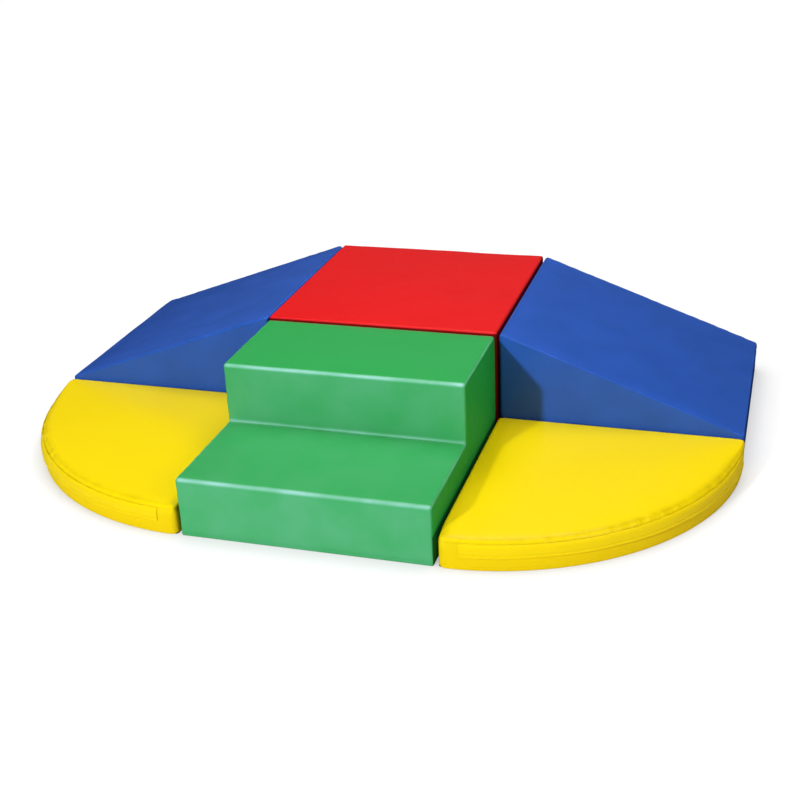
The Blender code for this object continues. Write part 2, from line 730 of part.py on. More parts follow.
def add_strip(assembly, name, material, parent, face, outwards, length, width):
    """A strip with rounded corners on a wall: face is its middle there, outwards the wall's direction."""
    normal = Vector(outwards)
    along = Vector((abs(normal.y), abs(normal.x), 0))
    corner = along * length / 2 + Vector((0, 0, width / 2))
    near = Vector(face) + normal * SEAT_GAP
    far = near + normal * STRIP_THICKNESS
    low, high = near - corner, far + corner
    bm = box([min(pair) for pair in zip(low, high)], [max(pair) for pair in zip(low, high)])
    weights = bm.edges.layers.float.new("bevel_weight_edge")
    for edge in bm.edges:
        span = (edge.verts[1].co - edge.verts[0].co).normalized()
        edge[weights] = 1 if abs(span.dot(normal)) > FACING_SHARE else 0
    strip = assembly.piece(name, bm, material, parent)
    add_bevel(strip, STRIP_CORNER_RADIUS, SMALL_SEGMENTS, by_weight=True)


def add_strips(assembly, modules):
    """One hook and one loop strip at each pair of walls that meet."""
    block = (BLOCK_STRIP_LENGTH, BLOCK_STRIP_WIDTH)
    low = (MAT_STRIP_LENGTH, MAT_STRIP_WIDTH)
    hook, loop = "hook_strip", "loop_strip"
    add_strip(assembly, "platform_front_hook_strip", hook, modules["platform"],
              (0, 0, BLOCK_STRIP_HEIGHT), (0, -1, 0), *block)
    add_strip(assembly, "steps_back_loop_strip", loop, modules["steps"],
              (0, 0, BLOCK_STRIP_HEIGHT), (0, 1, 0), *block)
    for name, side in (("left", -1), ("right", 1)):
        ramp, mat = modules[name + "_ramp"], modules[name + "_mat"]
        add_strip(assembly, f"platform_{name}_hook_strip", hook, modules["platform"],
                  (side * PLATFORM_WIDTH / 2, PLATFORM_DEPTH / 2, BLOCK_STRIP_HEIGHT), (side, 0, 0), *block)
        add_strip(assembly, f"{name}_ramp_side_loop_strip", loop, ramp,
                  (0, RAMP_DEPTH / 2, BLOCK_STRIP_HEIGHT), (-side, 0, 0), *block)
        add_strip(assembly, f"steps_{name}_hook_strip", hook, modules["steps"],
                  (side * STEPS_WIDTH / 2, -MAT_RADIUS / 2, MAT_STRIP_HEIGHT), (side, 0, 0), *low)
        add_strip(assembly, f"{name}_mat_side_loop_strip", loop, mat,
                  (0, -MAT_RADIUS / 2, MAT_STRIP_HEIGHT), (-side, 0, 0), *low)
        add_strip(assembly, f"{name}_ramp_front_hook_strip", hook, ramp,
                  (side * MAT_RADIUS / 2, 0, MAT_STRIP_HEIGHT), (0, -1, 0), *low)
        add_strip(assembly, f"{name}_mat_back_loop_strip", loop, mat,
                  (side * MAT_RADIUS / 2, 0, MAT_STRIP_HEIGHT), (0, 1, 0), *low)


# Modules

def add_platform(assembly):
    module = assembly.empty("platform", (0, SEAM_Y, 0))
    width = (-PLATFORM_WIDTH / 2, PLATFORM_WIDTH / 2)
    add_cover(assembly, "platform_cover", platform_form(0, 0, True), "red_vinyl", module)
    core, groove = platform_form(CORE_INSET, CORE_BOTTOM, False), straight_groove(*width, PLATFORM_DEPTH)
    add_core(assembly, "platform_foam_core", core, groove, module)
    half = PLATFORM_WIDTH / 2 - BASE_INSET
    base = box((-half, BASE_INSET, 0), (half, PLATFORM_DEPTH - BASE_INSET, BASE_THICKNESS))
    add_base(assembly, "platform_base_panel", base, module)
    add_straight_zip(assembly, "platform", module, *width, PLATFORM_DEPTH)
    return module


def add_steps(assembly):
    module = assembly.empty("steps", (0, FRONT_BACK_Y, 0))
    width = (-STEPS_WIDTH / 2, STEPS_WIDTH / 2)
    add_cover(assembly, "steps_cover", steps_form(0, 0, True), "green_vinyl", module)
    core, groove = steps_form(CORE_INSET, CORE_BOTTOM, False), straight_groove(*width, 0)
    add_core(assembly, "steps_foam_core", core, groove, module)
    half = STEPS_WIDTH / 2 - BASE_INSET
    base = box((-half, BASE_INSET - STEPS_DEPTH, 0), (half, -BASE_INSET, BASE_THICKNESS))
    add_base(assembly, "steps_base_panel", base, module)
    add_straight_zip(assembly, "steps", module, *width, 0)
    return module


def add_ramp(assembly, name, side):
    module = assembly.empty(name, (side * SIDE_X, SEAM_Y, 0))
    width = sorted((0, side * RAMP_LENGTH))
    add_cover(assembly, name + "_cover", ramp_form(0, 0, side, True), "blue_vinyl", module)
    core, groove = ramp_form(CORE_INSET, CORE_BOTTOM, side, False), straight_groove(*width, RAMP_DEPTH)
    add_core(assembly, name + "_foam_core", core, groove, module)
    near, far = sorted((side * BASE_INSET, side * (RAMP_LENGTH - BASE_INSET)))
    base = box((near, BASE_INSET, 0), (far, RAMP_DEPTH - BASE_INSET, BASE_THICKNESS))
    add_base(assembly, name + "_base_panel", base, module)
    add_straight_zip(assembly, name, module, *width, RAMP_DEPTH)
    return module


def add_mat(assembly, name, side, turn):
    module = assembly.empty(name, (side * SIDE_X, FRONT_BACK_Y, 0))
    form = {"turn": turn, "radius": MAT_EDGE_RADIUS}
    add_cover(assembly, name + "_cover", mat_form(0, 0, True), "yellow_vinyl", module, **form)
    core = mat_form(CORE_INSET, CORE_BOTTOM, False)
    add_core(assembly, name + "_foam_core", core, rim_groove(), module, **form)
    add_base(assembly, name + "_base_panel", quarter_panel(BASE_INSET, 0, BASE_THICKNESS), module, **form)
    add_arc_zip(assembly, name, module, turn)
    return module


def main():
    clear_scene()
    assembly = Assembly()
    modules = {"platform": add_platform(assembly), "steps": add_steps(assembly)}
    for name, side in (("left_ramp", -1), ("right_ramp", 1)):
        modules[name] = add_ramp(assembly, name, side)
    for name, side, turn in (("left_mat", -1, math.pi), ("right_mat", 1, -math.pi / 2)):
        modules[name] = add_mat(assembly, name, side, turn)
    add_strips(assembly, modules)


main()
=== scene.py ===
"""Sewn covers, foam, zips and finishes for a soft play climber, with a plain studio stage."""

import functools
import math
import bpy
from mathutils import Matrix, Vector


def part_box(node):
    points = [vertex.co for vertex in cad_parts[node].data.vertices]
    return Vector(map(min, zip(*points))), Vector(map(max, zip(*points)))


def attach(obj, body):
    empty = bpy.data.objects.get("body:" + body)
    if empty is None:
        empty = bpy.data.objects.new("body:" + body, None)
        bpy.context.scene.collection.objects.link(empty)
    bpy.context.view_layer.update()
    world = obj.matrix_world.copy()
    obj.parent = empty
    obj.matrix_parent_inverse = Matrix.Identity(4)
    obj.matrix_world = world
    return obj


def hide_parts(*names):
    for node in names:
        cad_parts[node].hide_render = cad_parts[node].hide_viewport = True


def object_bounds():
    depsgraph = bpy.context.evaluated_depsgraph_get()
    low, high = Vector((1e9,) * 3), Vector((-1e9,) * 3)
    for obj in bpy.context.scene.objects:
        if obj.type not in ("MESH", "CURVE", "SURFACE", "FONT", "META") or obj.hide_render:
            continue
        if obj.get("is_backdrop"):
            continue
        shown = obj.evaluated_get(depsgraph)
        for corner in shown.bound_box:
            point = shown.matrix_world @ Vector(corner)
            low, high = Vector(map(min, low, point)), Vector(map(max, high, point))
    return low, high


bl_info = {
    "name": "Soft Play Climber",
    "version": (1, 0, 0),
    "blender": (4, 5, 0),
    "location": "View3D > Sidebar > Soft Play",
    "description": "Builds the sewn vinyl covers, foam, zips and stage of a six-piece soft play climber",
    "category": "Add Mesh",
}

from collections import namedtuple

import bmesh
import bpy
import numpy as np
from mathutils import Matrix, Vector

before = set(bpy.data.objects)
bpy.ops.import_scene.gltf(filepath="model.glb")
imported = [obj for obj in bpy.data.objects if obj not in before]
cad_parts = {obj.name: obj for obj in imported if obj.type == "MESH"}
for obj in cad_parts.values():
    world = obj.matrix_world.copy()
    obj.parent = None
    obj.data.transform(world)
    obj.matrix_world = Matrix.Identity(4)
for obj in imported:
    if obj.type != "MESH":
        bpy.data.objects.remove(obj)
FRAME_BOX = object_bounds()

TINY = 1e-9
WELD = 1e-5

# Modules of the climber: their boxes from the frame, and the levels inside them

PLATFORM_LOW, PLATFORM_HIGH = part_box("platform_cover")
STEPS_LOW, STEPS_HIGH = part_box("steps_cover")
RAMP_LOW, RAMP_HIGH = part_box("right_ramp_cover")
MAT_LOW, MAT_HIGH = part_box("right_mat_cover")
PLATFORM_TOP = 0.300
UPPER_TREAD_TOP = 0.295
LOWER_TREAD_TOP = 0.145
UPPER_TREAD_DEPTH = 0.298
RAMP_TOP = 0.300
TOE_TOP = 0.080
MAT_TOP = 0.075
MAT_PUFF = 0.003
MAT_RADIUS = MAT_HIGH.x - MAT_LOW.x + MAT_PUFF
SIDES = {"left": -1, "right": 1}
MODULES = ("platform", "steps", "left_ramp", "right_ramp", "left_mat", "right_mat")
WHOLE_WALL = 1.0

# Zip channels, as deep and wide as the frame's

CHANNEL_HEIGHT = 0.045
MAT_CHANNEL_HEIGHT = 0.0475
CHANNEL_HALF = 0.014
CHANNEL_FLOOR_HALF = 0.011
CHANNEL_RUN = 0.003
CHANNEL_END = 0.050
CHANNEL_DEPTH = 0.008
FLOOR_MARGIN = 0.0006
ARC_SINK = 0.0006
MAT_CHANNEL_START = math.radians(4.5)
MAT_FLOOR_START = math.radians(9)

# Places of the cuts near an edge and above the hem, and of the hem's seam

FINE = (0.0010, 0.0030, 0.0060, 0.0095, 0.0140, 0.0210)
HEM_ROWS = (0.0012, 0.0035, 0.0062, 0.0075, 0.0090, 0.0130)
HEM_SEAM = 0.0072
HEM_SEAM_WIDTH = 0.0013
HEM_SEAM_DEPTH = 0.0006
HEM_TUCK = 0.0007
HEM_SHOWS = 0.8
CORE_FOOT = 0.0026

# Where one effect fades into another: over lengths in metres, or over how far a surface faces a way

PANEL_FADE = (0.0, 0.004)
TOE_FADE = (0.03, 0.16)
INNER_CORNER_FADE = (0.002, 0.010)
CHANNEL_FADE = (0.004, 0.030)
RIM_CHANNEL_FADE = (0.002, 0.016)
RIM_CORNER_REACH = (0.075, 0.012)
RIM_CORNER_DRAW = 0.022
RIM_BY_STEPS_FADE = (0.0, 0.045)
RIM_BY_RAMP_FADE = (0.0, 0.150)
MAT_CORNER_FADE = (0.10, 0.50)
MAT_WALL_FADE = (0.010, 0.030)
UPRIGHT_FADE = (0.012, 0.060)
FOOT_FADE = (0.012, 0.060)
TUCK_FADE = (0.0, 0.004)
WAVE_FADE = (0.0, 0.080)
OPEN_WALL_FADE = (0.004, 0.030)
# Where the painted light along a rolled edge fades out
EDGE_LIGHT_FADE = (0.003, 0.010)
NEIGHBOUR_REACH = 0.015
NEIGHBOUR_FADE = (0.005, 0.060)
# Reach and fades of the painted shade on the walls in a narrow gap
GAP_REACH = 0.020
GAP_TOP_FADE = 0.008
GAP_DEPTH_FADE = (0.004, 0.026)
GAP_CLEARED = 0.85
FACING_STRAIGHT = 0.9
FACING_UP = (0.3, 0.8)
FACING_GAP = (0.55, 0.95)
FACING_FROM_GAP = (0.2, 0.6)

# Swelling, puckers and seeds of the covers

SWELL_FRAMES = 20
CLOTH_SETTINGS = {
    "quality": 4, "mass": 0.3, "tension_stiffness": 40, "compression_stiffness": 40, "shear_stiffness": 20,
    "bending_stiffness": 2, "use_pressure": True}
FULL_SWELL_PERCENT = 98
LEAST_ROOM = 0.0003
PINNED_REACH = 0.004
PINNED_FOOT = 0.012
PUCKER_SHARPNESS = 1.4
PUCKER_PATCH = 0.16
PUCKER_PATCH_SPAN = (-0.3, 1.3)
PUCKER_LEAST = 0.45
QUIET_WALL_SHARE = 0.25
MAT_ROW_SHARE = 0.6
BLOCK_FILL, MAT_FILL = 0.97, 0.95
PLATFORM_SEED, STEPS_SEED, RAMP_SEEDS, MAT_SEEDS = 11, 23, (37, 47), (61, 71)

# Teeth, stitches and flaps: shares of their sizes, and lengths in metres

TOOTH_OUTLINE_SHARES = ((1.0, 0.0), (1.0, 0.50), (0.62, 0.66), (1.08, 0.82), (0.80, 1.0))
TOOTH_LAYER_SHARES = ((0.0, 1.0), (0.78, 1.0), (1.0, 0.78))
STITCH_STATION_SHARES = (
    (-0.50, 0.25, -0.6), (-0.38, 0.80, 0.0), (0.0, 1.0, 0.25), (0.38, 0.80, 0.0), (0.50, 0.25, -0.6))
STITCH_SIDES = 6
STITCH_SINK_SHARE = 0.45
FLAP_COLUMNS = 240
FLAP_RISE = 0.0015
FLAP_SEAT = 0.0002
FLAP_CLEARANCE = 0.0004
FLAP_HEM_SHARE = 1.8
FLAP_HANGS = 0.026
FLAP_TAPER_ANGLE = 0.03
FLAP_WAVE, FLAP_SEED = 0.110, 5
FLAP_PULL, FLAP_PULL_LENGTH, FLAP_PULL_SEED = 0.00022, 0.018, 8
FLAP_STITCH_WIDTH = 0.0010
# The flap is matt, and takes painted shade as a deeper colour
FLAP_MATT_AND_SHADED = 0.6
FITTING_SLOTS = {
    "base_panel": "anti_slip", "zip_tape": "zip_tape", "zip_slider": "slider_metal",
    "hook_strip": "hook_strip", "loop_strip": "loop_strip"}

# Floor

FLOOR_REACH = 9.0
FLOOR_DROP = 0.0006
SHADE_FADE = (1.15, 1.75)
CONTACT_REACH = 0.10
MIRROR_RUN = 0.02
MIRROR_FADE = (0.40, 0.60)


# Settings

def colour_setting(name, text, default):
    return bpy.props.FloatVectorProperty(
        name=name, description=text, subtype="COLOR", size=3, min=0, max=1, default=default)


def length_setting(name, text, default):
    return bpy.props.FloatProperty(
        name=name, description=text, unit="LENGTH", subtype="DISTANCE", min=0, default=default, precision=5)


def share_setting(name, text, default):
    return bpy.props.FloatProperty(
        name=name, description=text, subtype="FACTOR", min=0, max=1, default=default)


def power_setting(name, text, default):
    return bpy.props.FloatProperty(name=name, description=text, unit="POWER", min=0, default=default)


def angle_setting(name, text, degrees):
    return bpy.props.FloatProperty(
        name=name, description=text, subtype="ANGLE", default=math.radians(degrees))


class ClimberColours(bpy.types.PropertyGroup):
    red: colour_setting("Platform", "Colour of the platform's vinyl", (0.73, 0.005, 0.006))
    green: colour_setting("Steps", "Colour of the steps' vinyl", (0.030, 0.360, 0.080))
    blue: colour_setting("Ramps", "Colour of the ramps' vinyl", (0.016, 0.076, 0.345))
    yellow: colour_setting("Mats", "Colour of the mats' vinyl", (0.93, 0.68, 0.002))
    foam: colour_setting("Foam", "Colour of the foam cores", (0.62, 0.58, 0.44))
    base: colour_setting("Base", "Colour of the anti-slip base panels", (0.020, 0.020, 0.022))
    tape: colour_setting("Zip tape", "Colour of the woven zip tapes", (0.030, 0.030, 0.034))
    teeth: colour_setting("Zip teeth", "Colour of the moulded zip teeth", (0.045, 0.045, 0.050))
    metal: colour_setting("Slider", "Colour of the zip sliders", (0.52, 0.52, 0.50))
    hook: colour_setting("Hook strip", "Colour of the hook strips", (0.040, 0.040, 0.042))
    loop: colour_setting("Loop strip", "Colour of the loop strips", (0.055, 0.055, 0.058))


class CoverSizes(bpy.types.PropertyGroup):
    cell: length_setting("Panel cell", "Mesh cell in the middle of a panel", 0.016)
    platform_roll: length_setting("Platform edge", "Radius over the platform's front and back edges", 0.007)
    nosing_roll: length_setting("Nosing", "Radius over the nosings of the steps", 0.010)
    ramp_roll: length_setting("Ramp edge", "Radius over the ramps' top and toe edges", 0.009)
    mat_corner: length_setting("Mat corner", "Radius of the mats' upright edge by the steps", 0.020)
    mat_back_corner: length_setting("Mat back corner", "Radius of the mats' other upright edges", 0.014)
    mat_roll: length_setting("Mat rim", "Radius over the round edge of the mats", 0.028)
    seam_roll: length_setting("Sewn edge", "Radius over a sewn edge", 0.005)
    upright_roll: length_setting("Upright edge", "Radius of the platform's and ramps' upright edges", 0.009)
    inner_fillet: length_setting("Inner corner", "Radius where the riser meets the tread", 0.007)
    wall: length_setting("Vinyl", "Thickness of the vinyl", 0.0012)
    top_crown: length_setting("Top swell", "How far a tread or top swells", 0.0045)
    mat_crown: length_setting("Mat swell", "How far a mat's top swells", 0.007)
    wall_crown: length_setting("Wall swell", "How far an outer wall swells", 0.0018)
    pressure: bpy.props.FloatProperty(
        name="Pressure", description="Cloth pressure that swells the panels", min=0, default=2.0)
    seam_depth: length_setting("Seam depth", "Depth of the sewn groove", 0.0011)
    seam_width: length_setting("Seam width", "Half width of the sewn groove", 0.0016)
    pucker_depth: length_setting("Pucker depth", "Height of the puckers along a seam", 0.00045)
    pucker_length: length_setting("Pucker length", "Spacing of the puckers along a seam", 0.023)
    pucker_reach: length_setting("Pucker reach", "How far a pucker runs from its seam", 0.020)
    wave_depth: length_setting("Wave depth", "Height of the slow waves in a panel", 0.0004)
    wave_length: length_setting("Wave length", "Spacing of the slow waves in a panel", 0.170)
    core_gap: length_setting("Core gap", "Room between the vinyl's face and the foam", 0.0032)
    core_cell: length_setting("Core cell", "Mesh cell of a foam core", 0.050)


class ZipSizes(bpy.types.PropertyGroup):
    pitch: length_setting("Tooth pitch", "Distance between two teeth on one side", 0.0036)
    tooth_length: length_setting("Tooth length", "Length of a tooth along the zip", 0.0015)
    tooth_reach: length_setting("Tooth reach", "How far a tooth reaches past the middle", 0.0007)
    flap: length_setting("Flap", "Thickness of the flap's doubled vinyl", 0.0018)
    border: length_setting("Border", "How far a strip's stitches are from its edge", 0.003)
    flap_hem: length_setting("Flap hem", "Height of the flap's folded hem", 0.007)
    flap_lift: length_setting("Flap lift", "How far the flap's lower edge stands off", 0.0022)
    stitch: length_setting("Stitch", "Length of a stitch", 0.0032)
    stitch_gap: length_setting("Stitch gap", "Gap between two stitches", 0.0014)
    thread: length_setting("Thread", "Thickness of the sewing thread", 0.0007)


class StageSettings(bpy.types.PropertyGroup):
    floor: colour_setting("Floor", "Colour of the floor", (0.80, 0.80, 0.80))
    # Colour of a painted reflection: the floor just in front of the covers glows in it for gloss rays only
    floor_gloss: colour_setting("Floor in gloss", "Floor's colour as a gloss reflects it", (0.62, 0.78, 1.0))
    key_tint: colour_setting("Key colour", "Colour of the lamp at the front left", (0.88, 0.96, 1.0))
    key_power: power_setting("Key", "Power of the lamp at the front left", 440.0)
    gleam_power: power_setting("Gleam", "Power of the soft lamp that shows in the gloss", 56.0)
    back_power: power_setting("Back", "Power of the soft lamp behind", 22.0)
    fill_power: power_setting("Fill", "Power of the lamp at the front right", 28.0)
    top_power: power_setting("Overhead", "Power of the large lamp above", 61.0)
    ambient: share_setting("Ambient", "Strength of the world's light on the object", 0.09)
    backdrop: share_setting("Backdrop", "How much of the white backdrop a gloss reflects", 0.035)
    shadow: share_setting("Shadow", "How much of the floor's shade the camera sees", 0.34)
    # Strength of the painted contact shade: the floor darkened where it meets the covers
    contact: share_setting("Contact", "How dark the floor is where it meets the covers", 0.35)
    lens: bpy.props.FloatProperty(
        name="Lens", description="Focal length on a 36 mm sensor, in millimetres", min=1, default=58.344)
    yaw: angle_setting("Yaw", "Camera's turn about the vertical", 17.820)
    pitch: angle_setting("Pitch", "Camera's tilt", -24.805)
    roll: angle_setting("Roll", "Camera's roll", 2.605)
    place: bpy.props.FloatVectorProperty(
        name="Place", description="Camera's place", subtype="TRANSLATION", unit="LENGTH", size=3,
        default=(0.9704, -2.8794, 1.4937))


# Mesh helpers

def coordinates(mesh):
    """The mesh's points, one row each."""
    flat = np.empty(len(mesh.vertices) * 3)
    mesh.vertices.foreach_get("co", flat)
    return flat.reshape(-1, 3)


def set_coordinates(mesh, points):
    mesh.vertices.foreach_set("co", np.asarray(points, dtype=float).ravel())
    mesh.update()


def point_layer(mesh, name, values):
    """Keeps a value for each point under a name."""
    layer = mesh.attributes.new(name, "FLOAT", "POINT")
    layer.data.foreach_set("value", np.asarray(values, dtype=np.float32))


def link(name, mesh):
    piece = bpy.data.objects.new(name, mesh)
    bpy.context.scene.collection.objects.link(piece)
    return piece


def mesh_from(name, bm):
    mesh = bpy.data.meshes.new(name)
    bm.to_mesh(mesh)
    bm.free()
    return mesh


def solid_mesh(name, points, faces):
    mesh = bpy.data.meshes.new(name)
    mesh.from_pydata(points.tolist(), [], faces)
    return mesh


def blend_in(value, low, high):
    """A smooth step from 0 at low to 1 at high."""
    share = np.clip((np.asarray(value) - low) / (high - low), 0, 1)
    return share * share * (3 - 2 * share)


def ripples(points, length, seed, waves=9):
    """Seeded smooth waves of about one length, from about -1 to 1."""
    draw = np.random.default_rng(seed)
    total = np.zeros(len(points))
    for _ in range(waves):
        direction = draw.normal(size=3)
        direction /= np.linalg.norm(direction)
        pace = 2 * math.pi / (length * draw.uniform(0.65, 1.5))
        total += np.sin(points @ direction * pace + draw.uniform(0, 2 * math.pi))
    return total / math.sqrt(waves)


def lines(low, high, cell, first=FINE, last=FINE, extra=()):
    """Where a side is cut: finely at its two ends, evenly between, and at the extra places."""
    start, end = low + first[-1], high - last[-1]
    count = max(1, round((end - start) / cell))
    inner = [start + (end - start) * step / count for step in range(count + 1)]
    places = [low + reach for reach in first[:-1]] + inner + [high - reach for reach in last[:-1]]
    places = [place for place in places if all(abs(place - other) > cell * 0.3 for other in extra)]
    return sorted(place for place in places + list(extra) if low + WELD < place < high - WELD)


def slice_at(bm, axis, places):
    """Cuts the mesh right through at each place along an axis."""
    normal = Vector((0, 0, 0))
    normal[axis] = 1
    for place in places:
        everything = bm.verts[:] + bm.edges[:] + bm.faces[:]
        bmesh.ops.bisect_plane(bm, geom=everything, dist=WELD, plane_co=normal * place, plane_no=normal)


def sliced_box(low, high, cuts):
    """A box cut into cells along its three axes."""
    low, high = Vector(low), Vector(high)
    bm = bmesh.new()
    scale = Matrix.Diagonal((*(high - low), 1))
    bmesh.ops.create_cube(bm, size=1, matrix=Matrix.Translation((low + high) / 2) @ scale)
    for axis, places in enumerate(cuts):
        slice_at(bm, axis, places)
    return bm


def in_order(bm):
    """The same mesh sorted by place, since an extrusion leaves its points in any order."""
    fresh = bmesh.new()
    points = {
        vertex: fresh.verts.new(vertex.co) for vertex in sorted(bm.verts, key=lambda vertex: vertex.co[:])}
    for face in sorted(bm.faces, key=lambda face: sorted(vertex.co[:] for vertex in face.verts)):
        corners = [points[vertex] for vertex in face.verts]
        first = corners.index(min(corners, key=lambda vertex: vertex.co[:]))
        fresh.faces.new(corners[first:] + corners[:first])
    bm.free()
    return fresh


# Outlines

def inset_outline(outline, inset):
    """An outline that runs up, over and down, moved inwards, with its feet well below the floor."""
    edges = []
    for start, end in zip(outline[:-1], outline[1:]):
        along = (end - start) / np.linalg.norm(end - start)
        edges.append((start + np.array([along[1], -along[0]]) * inset, along))
    corners = []
    for (first, along), (second, across) in zip(edges[:-1], edges[1:]):
        reach = np.linalg.solve(np.column_stack((along, -across)), second - first)
        corners.append(first + along * reach[0])
    foot = -1.0
    return np.array([[edges[0][0][0], foot], *corners, [edges[-1][0][0], foot]])


def nearest_on(outline, points):
    """The nearest point of an open outline to each point, and how far away it is."""
    best = np.full(len(points), np.inf)
    found = np.zeros_like(points)
    for start, end in zip(outline[:-1], outline[1:]):
        along = end - start
        share = np.clip((points - start) @ along / (along @ along), 0, 1)
        near = start + share[:, None] * along
        distance = np.linalg.norm(points - near, axis=1)
        closer = distance < best
        best = np.where(closer, distance, best)
        found[closer] = near[closer]
    return found, best


def inside(outline, points):
    """Whether each point lies inside the outline, closed along its bottom."""
    within = np.zeros(len(points), dtype=bool)
    for start, end in zip(outline, np.roll(outline, -1, axis=0)):
        if abs(end[1] - start[1]) < TINY:
            continue
        crosses = (start[1] > points[:, 1]) != (end[1] > points[:, 1])
        reach = start[0] + (points[:, 1] - start[1]) * (end[0] - start[0]) / (end[1] - start[1])
        within ^= crosses & (points[:, 0] < reach)
    return within


# Forms: each says where its sharp outline, rolled edges, seams and channel are

Looks = namedtuple("Looks", "seam_share seam_spread gathered run drawn matt")
# How the vinyl looks at each point: the seam's strength and width, how gathered it is, how far along its edge
# it lies, how much painted light it takes, a lighter tone on some panels and a painted highlight at the
# steps' inner corner, and how matt it is, where the walls also take painted shade as a deeper colour.
Looks.__doc__ = """How the vinyl looks at each point: the seam's strength and width, how gathered it is,
how far along its edge it lies, how pale it is where it is drawn tight, and how matt it is."""


class Form:
    """What the two kinds of form share. A flat place lies in the outline's plane."""

    inner_corner = None

    def inner(self, flat, radius):
        """The nearest point of the outline's inside, inset by the radius."""
        near, within = self.inset(flat, radius)
        near[within] = flat[within]
        return near

    def seam(self, points):
        """How far each point is from the end panels' seams, and the nearest point of them."""
        near, distance = self.rim_near(self.flat(points))
        away, sign = self.end(points)
        return distance + away, self.solid(near, np.where(sign < 0, *self.ends))

    def edge_distance(self, points):
        """How far each point is from the nearest sharp edge of its panel."""
        flat = self.flat(points)
        _, depth = self.rim_near(flat)
        end, _ = self.end(points)
        return np.where(depth > WELD, depth, np.minimum(end, self.corner_distance(flat)))

    def near_channel(self, sharp, reach):
        on_wall, _, along, up = self.channel_place(sharp)
        return on_wall & (along > -reach) & (up < CHANNEL_HALF + reach)

    def on_channel_floor(self, sharp):
        on_wall, _, along, up = self.channel_place(sharp)
        return on_wall & (along > self.floor_start - WELD) & (up < CHANNEL_FLOOR_HALF + WELD)

    def clear_of_channel(self, sharp):
        """0 at the channel, rising to 1 away from it."""
        _, by_wall, along, up = self.channel_place(sharp)
        away = np.hypot(np.maximum(-along, 0), np.maximum(up - CHANNEL_HALF, 0))
        return blend_in(np.where(by_wall, away, 1.0), *self.channel_fade)


class PrismForm(Form):
    """A block whose one outline runs straight from end to end, with a sewn panel at each end."""

    floor_start = CHANNEL_RUN
    channel_fade = CHANNEL_FADE
    by_wall_reach = 0.02
    toe_gathered = 1.3
    # Shares of painted light, a lighter tone: on the ramps' end panels, at the steps' inner corner, on the
    # risers and on the lower tread
    side_drawn, corner_drawn, riser_drawn, tread_drawn = 0.40, 0.5, 0.24, 0.12

    def __init__(self, outline, ends, along, channel, quiet, roll, inner_corner=None):
        self.outline = np.array(outline, dtype=float)
        self.ends = ends
        self.along = along
        self.across = 1 - along
        self.channel = channel
        self.quiet = quiet
        self.roll = roll
        self.inner_corner = inner_corner

    def flat(self, points):
        return points[:, [self.across, 2]]

    def solid(self, flat, along):
        """Points in space from their places on the outline and along the block."""
        points = np.empty((len(flat), 3))
        points[:, self.across] = flat[:, 0]
        points[:, self.along] = along
        points[:, 2] = flat[:, 1]
        return points

    def inset(self, flat, radius):
        outline = inset_outline(self.outline, radius)
        return nearest_on(outline, flat)[0], inside(outline, flat)

    def rim_near(self, flat):
        """The outline's nearest point, and how far away it is."""
        return nearest_on(self.outline, flat)

    def end(self, points):
        """How far each point is from the nearer end, and which way that end faces."""
        along = points[:, self.along]
        sign = np.where(along < sum(self.ends) / 2, -1.0, 1.0)
        return np.where(sign < 0, along - self.ends[0], self.ends[1] - along), sign

    def corner_distance(self, flat):
        return np.min(np.linalg.norm(flat[:, None] - self.outline[None, 1:-1], axis=2), axis=1)

    def rolls(self, sharp):
        """The radii over the outline's corners and over the sewn ends, which widen down upright edges."""
        sizes = bpy.context.scene.climber_covers
        corner = getattr(sizes, self.roll)
        if self.inner_corner:
            return corner, sizes.seam_roll
        top = np.interp(sharp[:, self.across], *self.outline[1:-1].T)
        wider = (sizes.upright_roll - sizes.seam_roll) * blend_in(top - sharp[:, 2], *UPRIGHT_FADE)
        return corner, sizes.seam_roll + wider

    def looks(self, points):
        flat = self.flat(points)
        _, depth = self.rim_near(flat)
        panel = blend_in(depth, *PANEL_FADE)
        none, full, run = np.zeros(len(points)), np.ones(len(points)), points[:, 0]
        if self.along == 1:
            toe = self.outline[1:-1][np.argmin(self.outline[1:-1, 1])]
            gathered = self.toe_gathered * (1 - blend_in(np.linalg.norm(flat - toe, axis=1), *TOE_FADE))
            # The ramps' end panels take painted light, a lighter tone.
            return Looks(full, full, gathered, run, self.side_drawn * panel, none)
        # The end panels of the platform and steps are matt, and take painted shade as a deeper colour.
        return Looks(full, full, none, run, self.drawn(flat, depth) if self.inner_corner else none, panel)

    def drawn(self, flat, depth):
        """How pale the vinyl of the steps is: at the inner corner, on the risers and on the lower tread."""
        place, level = self.inner_corner
        away = np.linalg.norm(flat - np.array(self.inner_corner), axis=1)
        corner = 1 - blend_in(away, *INNER_CORNER_FADE)
        riser = np.minimum(np.abs(flat[:, 0] - place), np.abs(flat[:, 0] - self.outline[0][0])) < WELD
        tread = (np.abs(flat[:, 1] - level) < WELD) & (flat[:, 0] < place)
        pale = self.corner_drawn * corner + self.riser_drawn * riser + self.tread_drawn * tread
        return pale * (depth < WELD)

    def channel_place(self, sharp):
        """Whether each point is on the zip's wall and near it, how far in from the ends, and how far up."""
        low, high, wall = self.channel
        from_wall = np.abs(sharp[:, 1] - wall)
        along = np.minimum(sharp[:, 0] - low, high - sharp[:, 0]) - CHANNEL_END
        return from_wall < WELD, from_wall <= self.by_wall_reach, along, np.abs(sharp[:, 2] - CHANNEL_HEIGHT)

    def pressed(self, sharp, points):
        """Sinks the points of the zip channel's floor."""
        moved = points.copy()
        moved[self.on_channel_floor(sharp), 1] -= CHANNEL_DEPTH
        return moved


